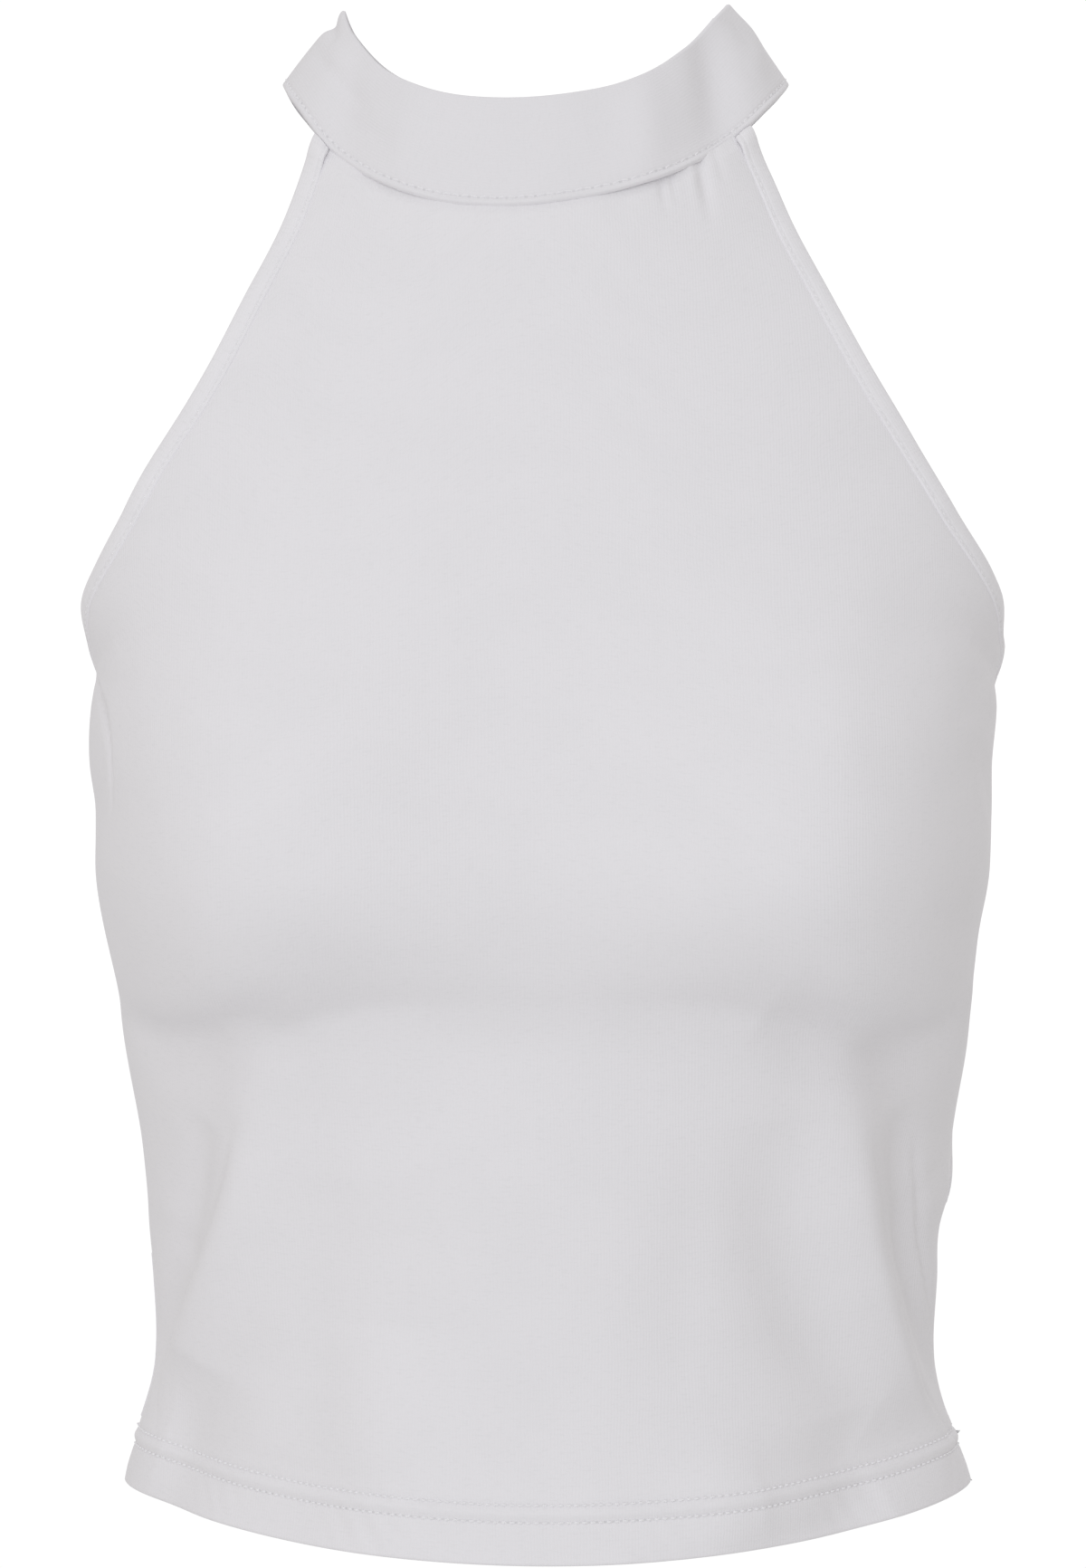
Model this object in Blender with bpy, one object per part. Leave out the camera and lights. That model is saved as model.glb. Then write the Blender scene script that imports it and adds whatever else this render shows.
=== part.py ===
"""A sleeveless cropped top in stretch jersey with a wide turtleneck band and a halter cut.

The cloth is modelled as it is worn, with no wearer: each sewn piece is its own closed wall, open at
the neck, armholes and hem. The origin is the centre of the neck band's lower edge, where the
wearer's neck holds the top up. +X is the viewer's right, -Y the front and +Z up. Lengths in this
file are in millimetres and become metres when a mesh is made.
"""

import math
from collections import namedtuple

import bmesh
import bpy
import numpy as np

METRES = 0.001

# Cloth
CLOTH = 1.2                # wall of one layer of jersey
HEM_WALL = 2.3             # the hem is the cloth turned up double
HEM_DEPTH = 19.0
HEM_STEP = 1.2             # height over which the wall thins above the hem
BAND_WALL = 2.4            # the band is a strip folded double
BINDING_WALL = 2.0
BINDING_WIDTH = 7.0
BINDING_CROWN = 0.4        # how far the binding's middle stands over its sides
SEAM_GAP = 0.3             # between neighbouring pieces
JERSEY_WHITE = (0.84, 0.83, 0.85, 1.0)
JERSEY_ROUGHNESS = 0.9

# Pose
LEAN = 4.1                 # the hem hangs this far to the viewer's right of the neck
HEM_HEIGHT = -454.0        # side corners of the hem
NIP = 2.0                  # both sides shift this far to the right where the left underarm is pinched
NIP_HEIGHT = -193.0
NIP_RISE = 10.0

# Mesh density
PANEL_COLUMNS = 34
ROWS_BELOW_ARM = 19
ROWS_ABOVE_ARM = 14
ARM_ROW_CROWDING = 1.5     # rows crowd towards the underarm, where the armhole's edge turns
BAND_STEPS = 64
BAND_ROWS = 4
BINDING_COLUMNS = 3

# The band's foot and top are ellipses seen from above. Their heights change round the neck: highest
# at its sides, lowest in front. The angle is in degrees from the front, positive to the right.
Ring = namedtuple("Ring", "half_width half_depth column")
BAND_FOOT = Ring(82.8, 66.0, column=1)
BAND_TOP = Ring(62.8, 56.0, column=2)
NeckStation = namedtuple("NeckStation", "degrees foot top")
NECK_STATIONS = (
    NeckStation(-170, -28.0, 3.0),
    NeckStation(-150, -27.0, 4.0),
    NeckStation(-130, -20.0, 9.5),
    NeckStation(-110, -7.0, 18.5),
    NeckStation(-90, 0.0, 25.0),
    NeckStation(-70, -9.0, 14.5),
    NeckStation(-50, -27.5, 1.0),
    NeckStation(-30, -41.0, -7.5),
    NeckStation(-10, -46.0, -10.5),
    NeckStation(10, -43.5, -9.0),
    NeckStation(30, -36.0, -3.5),
    NeckStation(50, -22.0, 8.0),
    NeckStation(70, -7.5, 21.0),
    NeckStation(90, 0.0, 27.0),
    NeckStation(110, -4.0, 24.0),
    NeckStation(130, -15.0, 15.5),
    NeckStation(150, -24.0, 8.0),
    NeckStation(170, -28.0, 4.0),
)
BAND_CROWN = 1.5           # the band's middle bulges this far out of the straight line foot to top
NECK_SEAM_SPAN = math.radians(53.0)   # each panel's half of the neck seam, from its middle
BINDING_REACH = 78.0       # length across a binding for each radian along the neck seam
NECK_BLEND = 64.0          # height below the neck seam over which a panel takes up its curve

# Sections of the panels, hem to neck. mid_z and mid_y are the height and depth of the middle,
# edge_z and edge_y those of the edge, and half_width is the edge's distance from the middle. Seen
# from above a section is part of an oval: half of it below the underarm, where edge_y is 0, and
# less along an armhole. The last section of each panel is worked out from the neck ring.
Section = namedtuple("Section", "mid_z edge_z half_width edge_y mid_y")
FRONT_SECTIONS = (
    Section(-468, -454, 137.5, 0, 96),
    Section(-455, -442, 135.0, 0, 94),
    Section(-440, -428, 129.7, 0, 92.5),
    Section(-415, -409, 127.0, 0, 92.5),
    Section(-390, -385, 127.7, 0, 95),
    Section(-352, -350, 131.6, 0, 98.5),
    Section(-310, -308, 137.8, 0, 101.5),
    Section(-284, -279, 141.0, 0, 110),
    Section(-262, -255, 145.0, 0, 114.3),
    Section(-238, -228, 147.0, 0, 112.5),
    Section(-208, -197, 146.5, 0, 106.4),
    Section(-205.5, -194.5, 146.3, 9, 105.6),
    Section(-199, -188, 146.0, 17, 103.8),
    Section(-190, -180, 144.0, 27, 101.2),
    Section(-172, -164, 138.7, 44, 96.5),
    Section(-150, -143, 125.4, 55, 90.5),
    Section(-126, -120, 111.3, 58, 84.5),
    Section(-102, -97, 97.7, 59, 78.5),
    Section(-80, -73, 86.0, 54.5, 74),
    Section(-62, -49, 74.9, 47.5, 69.5),
)
BACK_SECTIONS = (
    Section(-460, -454, 137.5, 0, 95),
    Section(-447, -442, 135.0, 0, 91),
    Section(-432, -428, 129.7, 0, 87),
    Section(-411, -409, 127.0, 0, 82),
    Section(-386, -385, 127.7, 0, 80),
    Section(-351, -350, 131.6, 0, 83),
    Section(-314, -314, 137.0, 0, 89),
    Section(-286, -285, 140.2, 0, 93.5),
    Section(-257, -255, 145.0, 0, 97),
    Section(-230, -228, 147.0, 0, 99),
    Section(-199, -197, 146.5, 0, 99.5),
    Section(-196.5, -194.5, 146.0, 9, 99.5),
    Section(-190, -188, 145.0, 16, 99.3),
    Section(-179, -177, 139.5, 27, 98.6),
    Section(-160, -156, 127.0, 42, 97),
    Section(-134, -128, 111.0, 57, 93.5),
    Section(-108, -100, 96.0, 64, 88.5),
    Section(-82, -73, 84.0, 62, 82),
    Section(-56, -44, 74.0, 53.5, 75),
)
FRONT_ARM_ROW = 10         # the section at which the side seam meets the armhole
BACK_ARM_ROW = 10

# Depth of an oval: the middle's depth times a power of the cosine. With a power of 1 it is an
# ellipse, as all of the back is. The front is squarer over the bust and more pointed below it.
BUST_POWER = 0.7
BODY_POWER = 1.12
BUST_POWER_FROM = -345.0   # the power changes from this height up
CHEST_POWER_FROM = -205.0  # and back to 1 from this one
POWER_BLEND = 60.0

# Bust fullness of the front: two soft swells on a general figure, bridged by the cloth
BUST_OUT = 26.0
BUST_HEIGHT = -249.0
BUST_SIDE = 98.0           # from the middle to each swell's crown
BUST_WIDTH = 60.0
BUST_SIDE_FADE = 12        # the swell ends at the side seams, late and quickly
BUST_RISE = 78.0           # fades upward over this
BUST_FALL = 57.0           # and turned in downward over this, slowly and then sharply
BUST_FALL_POWER = 2.6
BUST_CORNER = 0.12         # softness of the corner where the swell ends
BUST_SMILE = 15.0          # the swell ends this much higher away from its lowest place
BUST_LOWEST = 102.0        # which is this far from the middle
BUST_SMILE_WIDTH = 28.0

# Main folds, as soft ridges (lift above 0) and troughs (below 0). Each follows a curve from its
# start to its end by way of its bend. 'around' is measured along the cloth from the panel's middle,
# towards the viewer's right on the front and left on the back, and 'height' is a height.
HALF_GIRTH = 200.0         # from the middle to the side seam
Fold = namedtuple("Fold", "start_around start_height bend_around bend_height end_around end_height width lift")
FRONT_FOLDS = (
    Fold(-172, -284, -124, -322, -76, -290, 11, -4.5),
    Fold(66, -291, 116, -324, 178, -281, 12, -5.0),
    Fold(-90, -304, -94, -372, -170, -426, 15, 5.5),
    Fold(98, -300, 93, -378, 168, -440, 16, 6.5),
    Fold(-116, -334, -136, -384, -188, -412, 11, -5.0),
    Fold(124, -330, 140, -388, 190, -424, 12, -6.0),
    Fold(68, -332, 72, -386, 116, -430, 16, -3.5),
    Fold(-70, -350, -74, -394, -84, -436, 16, -2.0),
    Fold(-156, -438, -98, -452, -36, -454, 15, -4.5),
    Fold(66, -448, 112, -446, 164, -430, 13, -3.5),
)
BACK_FOLDS = (
    Fold(190, -196, 194, -212, 188, -232, 9, 6.0),
    Fold(-190, -334, -186, -354, -192, -372, 9, 5.0),
    Fold(-178, -300, -120, -318, -60, -308, 16, -3.5),
    Fold(64, -302, 118, -322, 180, -306, 15, -4.5),
    Fold(-70, -346, -104, -392, -172, -432, 16, 4.0),
    Fold(78, -340, 108, -390, 176, -424, 15, 4.5),
    Fold(-110, -352, -140, -388, -184, -408, 12, -3.0),
    Fold(116, -356, 146, -384, 184, -402, 12, -3.0),
    Fold(-30, -366, 0, -384, 34, -370, 18, -2.5),
    Fold(-60, -438, -20, -448, 40, -440, 14, -2.5),
)
FOLD_SAMPLES = 24


def clear_scene():
    for item in list(bpy.data.objects):
        bpy.data.objects.remove(item, do_unlink=True)


def smooth_step(value):
    """0 below 0, 1 above 1, and a soft S between."""
    held = np.clip(value, 0.0, 1.0)
    return held * held * (3 - 2 * held)


def curve_through(keys, column, at):
    """Cubic curve through a table's column, with the mean slope of its neighbours at each key."""
    slopes = np.gradient(column, keys)
    index = np.clip(np.searchsorted(keys, at) - 1, 0, len(keys) - 2)
    step = keys[index + 1] - keys[index]
    part = (at - keys[index]) / step
    rest = 1 - part
    first = rest * rest * ((1 + 2 * part) * column[index] + part * step * slopes[index])
    second = part * part * ((3 - 2 * part) * column[index + 1] - rest * step * slopes[index + 1])
    return first + second


def ring_height(ring, angle):
    """Smooth height of a neck ring at an angle in radians, through its column of the stations."""
    table = np.array(NECK_STATIONS, dtype=float)
    keys = np.concatenate((table[-2:, 0] - 360, table[:, 0], table[:2, 0] + 360))
    heights = np.concatenate((table[-2:], table, table[:2]))[:, ring.column]
    return curve_through(keys, heights, (np.degrees(angle) + 180) % 360 - 180)


def ring_points(ring, angle):
    """Points of a neck ring at angles measured from the front, positive to the viewer's right."""
    across = ring.half_width * np.sin(angle)
    deep = -ring.half_depth * np.cos(angle)
    return np.stack((across, deep, ring_height(ring, angle)), axis=-1)


def neck_section(middle_angle):
    """The panel's last section, which lies on the band's foot."""
    span = NECK_SEAM_SPAN
    edges = ring_height(BAND_FOOT, middle_angle + np.array((-span, span)))
    return Section(
        float(ring_height(BAND_FOOT, middle_angle)),
        float(edges.mean()),
        BAND_FOOT.half_width * math.sin(span),
        BAND_FOOT.half_depth * math.cos(span),
        BAND_FOOT.half_depth,
    )


def fold_lift(folds, around, height):
    """Sum of the folds: each is a bell across its curve that fades out towards both ends."""
    total = np.zeros_like(around)
    along = np.linspace(0, 1, FOLD_SAMPLES)
    for fold in folds:
        start, bend, end = (1 - along) ** 2, 2 * along * (1 - along), along ** 2
        path_around = start * fold.start_around + bend * fold.bend_around + end * fold.end_around
        path_height = start * fold.start_height + bend * fold.bend_height + end * fold.end_height
        away = np.hypot(around[..., None] - path_around, height[..., None] - path_height)
        nearest = away.argmin(axis=-1)
        bell = np.exp(-(away.min(axis=-1) / fold.width) ** 2)
        total += fold.lift * bell * np.sin(math.pi * along[nearest]) ** 0.7
    return total


def bust_swell(from_middle, height, angle):
    """How far the front stands out over the bust; it fades to nothing at the side seams."""
    drop = height - BUST_HEIGHT
    smile = np.exp(-((np.abs(from_middle) - BUST_LOWEST) / BUST_SMILE_WIDTH) ** 2)
    fall = BUST_FALL - BUST_SMILE * (1 - smile)
    left = 1 - (np.clip(-drop, 0, None) / fall) ** BUST_FALL_POWER
    held = (left + np.hypot(left, BUST_CORNER)) / (1 + math.hypot(1, BUST_CORNER))
    fade = np.where(drop > 0, np.exp(-(drop / BUST_RISE) ** 2), held)
    crowns = sum(np.exp(-((from_middle - side) / BUST_WIDTH) ** 2) for side in (-BUST_SIDE, BUST_SIDE))
    return BUST_OUT * crowns * fade * (1 - (angle / (math.pi / 2)) ** BUST_SIDE_FADE)


def oval_power(height, facing):
    """Power of the cosine that gives a section's depth."""
    if facing > 0:
        return np.ones_like(height)
    bust = smooth_step((height - BUST_POWER_FROM) / POWER_BLEND)
    chest = smooth_step((height - CHEST_POWER_FROM) / POWER_BLEND)
    return BODY_POWER + (BUST_POWER - BODY_POWER) * bust + (1 - BUST_POWER) * chest


def panel_stations(sections, arm_row):
    """Heights of the rows at the panel's middle, hem first, with one row at the underarm."""
    hem = sections[0].mid_z
    arm = sections[arm_row].mid_z
    neck = sections[-1].mid_z
    hem_rows = [hem, hem + HEM_DEPTH / 2, hem + HEM_DEPTH]
    body_rows = np.linspace(hem + HEM_DEPTH + HEM_STEP, arm, ROWS_BELOW_ARM)
    chest_rows = arm + (neck - arm) * np.linspace(0, 1, ROWS_ABOVE_ARM + 1)[1:] ** ARM_ROW_CROWDING
    return np.concatenate((hem_rows, body_rows, chest_rows))


def panel_surface(sections, arm_row, facing, folds):
    """Outer points and normals of a panel, rows hem to neck; facing is -1 for the front, 1 for the back.

    Along a row, x runs as the sine and y as a power of the cosine of the angle from the middle, up
    to the angle at which the oval has the edge's depth. Towards the neck the row's height takes up
    the curve of the band's foot.
    """
    middle_angle = 0.0 if facing < 0 else math.pi
    table = np.array(tuple(sections) + (neck_section(middle_angle),), dtype=float)
    rows = [Section(*row) for row in table]
    stations = panel_stations(rows, arm_row)
    mid_z, edge_z, half_width, edge_y, mid_y = (
        curve_through(table[:, 0], column, stations)[:, None] for column in table.T
    )
    side_seam = stations <= rows[arm_row].mid_z
    edge_y = np.where(side_seam[:, None], 0.0, edge_y)
    across = np.linspace(-1, 1, PANEL_COLUMNS)[None, :]
    power = oval_power(mid_z, facing)
    reach = np.arccos((edge_y / mid_y) ** (1 / power))
    angle = across * reach
    from_middle = half_width * np.sin(angle) / np.sin(reach)
    depth = mid_y * np.clip(np.cos(angle), 0, 1) ** power
    level = mid_z + (edge_z - mid_z) * (from_middle / half_width) ** 2
    blend = smooth_step((stations[:, None] - (rows[-1].mid_z - NECK_BLEND)) / NECK_BLEND)
    on_ring = ring_height(BAND_FOOT, middle_angle + across * NECK_SEAM_SPAN)
    plain = rows[-1].mid_z + (rows[-1].edge_z - rows[-1].mid_z) * (from_middle / half_width) ** 2
    level = level + blend * (on_ring - plain)
    if facing < 0:
        depth = depth + bust_swell(from_middle, level, angle)
    lean = LEAN * (level / HEM_HEIGHT) * (1 - blend)
    lean = lean + NIP * np.exp(-((level - NIP_HEIGHT) / NIP_RISE) ** 2) * across ** 6
    points = np.stack((lean - facing * from_middle, facing * depth, level), axis=-1)
    normals = grid_normals(points, side_seam)
    around = angle / (math.pi / 2) * HALF_GIRTH
    lift = fold_lift(folds, around, level) * (1 - across ** 8)
    points = points + normals * (lift * (1 - blend))[..., None]
    points[side_seam, 0, 1] = facing * SEAM_GAP / 2
    points[side_seam, -1, 1] = facing * SEAM_GAP / 2
    points[-1, :, 2] -= SEAM_GAP
    return points, grid_normals(points, side_seam), side_seam


def grid_normals(points, side_seam):
    """Unit normals of a grid of points; at a side seam they point straight out to the side."""
    normals = np.cross(np.gradient(points, axis=1), np.gradient(points, axis=0))
    for column in (0, -1):
        normals[side_seam, column, 1] = 0.0
    return normals / np.linalg.norm(normals, axis=-1, keepdims=True)


def panel_thickness(points):
    """One layer of cloth, doubled over the turned-up hem."""
    rise = points[:, :, 2] - points[:1, :, 2]
    thin = smooth_step((rise - HEM_DEPTH - HEM_STEP * 0.1) / (HEM_STEP * 0.8))
    return (HEM_WALL + (CLOTH - HEM_WALL) * thin)[..., None]


def cloth_wall(name, outer, inner, closed=False):
    """Solid between two grids of points, joined along their edges.

    Each station's loop runs along the outer points and back along the inner ones. Neighbouring
    loops are joined by quads; an open wall's first and last loops are closed like ladders.
    """
    loops = np.concatenate((outer, inner[:, ::-1]), axis=1)
    stations, size = loops.shape[:2]
    width = outer.shape[1]
    shape = bmesh.new()
    corners = [[shape.verts.new(point * METRES) for point in loop] for loop in loops]
    for station in range(stations if closed else stations - 1):
        here = corners[station]
        there = corners[(station + 1) % stations]
        for side in range(size):
            after = (side + 1) % size
            shape.faces.new((here[side], here[after], there[after], there[side]))
    if not closed:
        for end in (corners[0], corners[-1]):
            for rung in range(width - 1):
                shape.faces.new((end[rung], end[rung + 1], end[size - 2 - rung], end[size - 1 - rung]))
    bmesh.ops.recalc_face_normals(shape, faces=shape.faces)
    mesh = bpy.data.meshes.new(name)
    shape.to_mesh(mesh)
    shape.free()
    return add_object(name, mesh)


def add_object(name, mesh):
    mesh.shade_smooth()
    mesh.set_sharp_from_angle(angle=math.radians(50))
    item = bpy.data.objects.new(name, mesh)
    bpy.context.scene.collection.objects.link(item)
    item.data.materials.append(jersey(name))
    return item


def jersey(name):
    material = bpy.data.materials.new(name)
    material.use_nodes = True
    shader = material.node_tree.nodes["Principled BSDF"]
    shader.inputs["Base Color"].default_value = JERSEY_WHITE
    shader.inputs["Roughness"].default_value = JERSEY_ROUGHNESS
    shader.inputs["Metallic"].default_value = 0.0
    return material


def build_panel(name, surface):
    points, normals, _ = surface
    return cloth_wall(name, points, points - normals * panel_thickness(points))


def build_neck_band():
    """The folded strip: a ring whose outside leans in from its foot to its top."""
    angles = np.linspace(0, 2 * math.pi, BAND_STEPS, endpoint=False)[:, None]
    up = np.linspace(0, 1, BAND_ROWS)[None, :]
    foot = ring_points(BAND_FOOT, angles)
    top = ring_points(BAND_TOP, angles)
    away = np.concatenate((np.sin(angles), -np.cos(angles), np.zeros_like(angles)), axis=-1)[:, None]
    crown = BAND_CROWN * np.sin(math.pi * up)[..., None]
    outer = foot * (1 - up[..., None]) + top * up[..., None] + away * crown
    return cloth_wall("neck_band", outer, outer - away * BAND_WALL, closed=True)


def armhole_edge(front, back, side):
    """Points and normals of the panels' armhole edge, front neck to underarm to back neck."""
    front_column = -1 if side > 0 else 0
    back_column = 0 if side > 0 else -1
    pieces = []
    for grid in (0, 1):
        front_part = front[grid][front[2].sum() - 1:, front_column][::-1]
        back_part = back[grid][back[2].sum() - 1:, back_column]
        underarm = (front_part[-1:] + back_part[:1]) / 2
        pieces.append(np.concatenate((front_part[:-1], underarm, back_part[1:])))
    return pieces


def build_binding(name, front, back, side):
    """A folded strip beside the armhole edge, its ends cut along the foot of the band."""
    edge, normals = armhole_edge(front, back, side)
    along = np.gradient(edge, axis=0)
    outward = side * np.cross(normals, along)
    outward /= np.linalg.norm(outward, axis=-1, keepdims=True)
    across = np.linspace(0, BINDING_WIDTH, BINDING_COLUMNS)
    middle = edge[:, None] + outward[:, None] * (SEAM_GAP + across)[None, :, None]
    turn = side * (NECK_SEAM_SPAN + (SEAM_GAP + across) / BINDING_REACH)
    for end, angle in ((0, turn), (-1, math.pi - turn)):
        middle[end] = ring_points(BAND_FOOT, angle)
        middle[end, :, 2] -= 2 * SEAM_GAP
    crown = BINDING_CROWN * np.sin(math.pi * across / BINDING_WIDTH)
    rise = (BINDING_WALL - CLOTH) / 2
    outer = middle + normals[:, None] * (rise + crown)[None, :, None]
    inner = middle - normals[:, None] * (BINDING_WALL - rise)
    return cloth_wall(name, outer, inner)


def main():
    clear_scene()
    front = panel_surface(FRONT_SECTIONS, FRONT_ARM_ROW, -1, FRONT_FOLDS)
    back = panel_surface(BACK_SECTIONS, BACK_ARM_ROW, 1, BACK_FOLDS)
    build_panel("front_panel", front)
    build_panel("back_panel", back)
    build_neck_band()
    build_binding("armhole_binding_left", front, back, -1)
    build_binding("armhole_binding_right", front, back, 1)


main()
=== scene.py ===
"""A sleeveless cropped top in white stretch jersey, with a wide turtleneck band and a halter cut.

The top is shown as it is worn, filled out, with no wearer. Each sewn piece is a thin closed shell
on the form of its solid, worked out with numpy from the sizes below. Sizes are in millimetres,
apart from names that end in _m, and become metres when a mesh is made. +X is the viewer's right,
-Y the front and +Z up; the origin is the centre of the neck band's lower edge.
"""

from __future__ import annotations

import logging
import math
from dataclasses import dataclass, field
from enum import Enum
from typing import NamedTuple

import bpy
import numpy as np
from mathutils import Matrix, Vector

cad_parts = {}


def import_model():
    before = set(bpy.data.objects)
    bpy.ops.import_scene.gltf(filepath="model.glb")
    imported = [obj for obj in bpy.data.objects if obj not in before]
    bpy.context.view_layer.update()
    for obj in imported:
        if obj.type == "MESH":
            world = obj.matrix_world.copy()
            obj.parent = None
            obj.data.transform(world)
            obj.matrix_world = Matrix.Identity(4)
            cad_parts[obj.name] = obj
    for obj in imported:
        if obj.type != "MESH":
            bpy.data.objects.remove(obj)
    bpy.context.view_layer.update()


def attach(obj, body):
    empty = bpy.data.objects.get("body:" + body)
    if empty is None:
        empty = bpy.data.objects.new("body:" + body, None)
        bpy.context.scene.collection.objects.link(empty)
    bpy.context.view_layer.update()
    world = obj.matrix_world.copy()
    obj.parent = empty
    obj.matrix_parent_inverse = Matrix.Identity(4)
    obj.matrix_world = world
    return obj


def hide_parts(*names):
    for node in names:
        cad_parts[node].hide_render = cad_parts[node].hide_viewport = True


LOG = logging.getLogger("turtleneck_top")
METRES = 0.001
CLOTH_MAP = "cloth"         # UV map of every piece, in metres
MIDDLE_OF_MAP = 0.5         # the map's first coordinate at the middle of a run

Colour = tuple[float, float, float, float]
Faces = list[list[int]]


class Facing(Enum):
    """Which way a panel faces."""

    FRONT = -1
    BACK = 1


class ArmSide(Enum):
    """The side of an armhole, as the viewer sees it."""

    LEFT = -1
    RIGHT = 1


class Wales(Enum):
    """Which way the knit's fine ribs run on a piece, in its cloth map."""

    UPRIGHT = "constant run"
    ALONG = "constant rise"


class Ring(NamedTuple):
    """Edge of the neck band: an ellipse seen from above, its heights a column of the stations."""

    half_width: float
    half_depth: float
    column: int


class NeckStation(NamedTuple):
    """Heights of the band's foot and top at an angle from the front, positive to the right."""

    degrees: float
    foot: float
    top: float


class Section(NamedTuple):
    """Level of a panel: heights and depths of its middle and edge, and the edge's distance."""

    mid_z: float
    edge_z: float
    half_width: float
    edge_y: float
    mid_y: float


class SideShift(NamedTuple):
    """Shift to the right of the left and right sides at a height: small bulges and hollows."""

    height: float
    left: float
    right: float


class Fold(NamedTuple):
    """Ridge (lift above 0) or trough on a panel, from its start to its end by way of its bend.

    The side widths are shares of the width, to the left and right when looking along the fold.
    """

    start_around: float
    start_height: float
    bend_around: float
    bend_height: float
    end_around: float
    end_height: float
    width: float
    lift: float
    left: float = 1.0
    right: float = 1.0


class BandFold(NamedTuple):
    """Ridge or trough on the neck band, in degrees round it and shares of its height."""

    start_degrees: float
    start_up: float
    end_degrees: float
    end_up: float
    width: float
    lift: float


class RippleSpot(NamedTuple):
    """Place along a hem at which slanting ripples cross it, with their half width and share."""

    run: float
    width: float
    share: float


class Gather(NamedTuple):
    """Small upright pucker that fades out below the neck seam."""

    run: float
    drop: float
    width: float
    lift: float


BAND_FOOT = Ring(82.8, 66.0, column=1)
BAND_TOP = Ring(62.8, 56.0, column=2)
NECK_STATIONS = (
    NeckStation(-170, -28.0, 3.0),
    NeckStation(-150, -27.0, 4.0),
    NeckStation(-130, -20.0, 9.5),
    NeckStation(-110, -7.0, 18.5),
    NeckStation(-90, 0.0, 25.0),
    NeckStation(-70, -9.0, 14.5),
    NeckStation(-50, -27.5, 1.0),
    NeckStation(-30, -41.0, -7.5),
    NeckStation(-10, -46.0, -10.5),
    NeckStation(10, -43.5, -9.0),
    NeckStation(30, -36.0, -3.5),
    NeckStation(50, -22.0, 8.0),
    NeckStation(70, -7.5, 21.0),
    NeckStation(90, 0.0, 27.0),
    NeckStation(110, -4.0, 24.0),
    NeckStation(130, -15.0, 15.5),
    NeckStation(150, -24.0, 8.0),
    NeckStation(170, -28.0, 4.0),
)
BAND_CROWN = 0.6                        # the band's middle bulges out this far
NECK_SEAM_SPAN = math.radians(53.0)     # each panel's half of the neck seam, from its middle
NECK_TURN = math.radians(-2.2)          # the front seam's right end lies nearer the middle
BINDING_REACH = 70.0                    # length across a binding for a radian along the neck seam
NECK_BLEND = 64.0                       # a panel takes up the neck seam's curve over this height
SEAM_GAP = 0.3
LEAN = 4.1                              # the hem hangs this far to the right of the neck
HEM_HEIGHT = -454.0                     # side corners of the hem
NIP = 2.0                               # shift of both sides to the right at the pinched underarm
NIP_HEIGHT = -193.0
NIP_RISE = 10.0
NIP_POWER = 6                           # the nip grows to the sides as this power of the way
HALF_GIRTH = 200.0                      # a fold's 'around' at the side seam
LEAST_HALF_WALL = 0.12                  # half the cloth's thickness at the end of a round edge
FOLD_END_POWER = 0.7                    # how bluntly a fold ends
FOLD_STEPS = 25                         # points along a panel's fold
BAND_FOLD_STEPS = 9                     # points along a band's fold

FRONT_SECTIONS = (
    Section(-468, -454, 137.5, 0, 96),
    Section(-455, -442, 135.0, 0, 94),
    Section(-440, -428, 129.7, 0, 92.5),
    Section(-415, -409, 127.0, 0, 92.5),
    Section(-390, -385, 127.7, 0, 95),
    Section(-352, -350, 131.6, 0, 98.5),
    Section(-310, -308, 137.8, 0, 101.5),
    Section(-284, -279, 141.0, 0, 110),
    Section(-262, -255, 145.0, 0, 114.3),
    Section(-238, -228, 147.0, 0, 112.5),
    Section(-208, -197, 146.5, 0, 106.4),
    Section(-205.5, -194.5, 146.3, 9, 105.6),
    Section(-199, -188, 146.0, 17, 103.8),
    Section(-190, -180, 144.0, 27, 101.2),
    Section(-172, -164, 138.7, 44, 96.5),
    Section(-150, -143, 125.4, 55, 90.5),
    Section(-126, -120, 111.3, 58, 84.5),
    Section(-102, -97, 97.7, 59, 78.5),
    Section(-80, -73, 86.0, 54.5, 74),
    Section(-62, -49, 74.9, 47.5, 69.5),
)
BACK_SECTIONS = (
    Section(-460, -454, 137.5, 0, 95),
    Section(-447, -442, 135.0, 0, 91),
    Section(-432, -428, 129.7, 0, 87),
    Section(-411, -409, 127.0, 0, 82),
    Section(-386, -385, 127.7, 0, 80),
    Section(-351, -350, 131.6, 0, 83),
    Section(-314, -314, 137.0, 0, 89),
    Section(-286, -285, 140.2, 0, 93.5),
    Section(-257, -255, 145.0, 0, 97),
    Section(-230, -228, 147.0, 0, 99),
    Section(-199, -197, 146.5, 0, 99.5),
    Section(-196.5, -194.5, 146.0, 9, 99.5),
    Section(-190, -188, 145.0, 16, 99.3),
    Section(-179, -177, 139.5, 27, 98.6),
    Section(-160, -156, 127.0, 42, 97),
    Section(-134, -128, 111.0, 57, 93.5),
    Section(-108, -100, 96.0, 64, 88.5),
    Section(-82, -73, 84.0, 62, 82),
    Section(-56, -44, 74.0, 53.5, 75),
)
ARM_ROW = 10                            # the section at which the side seam meets the armhole

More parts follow.
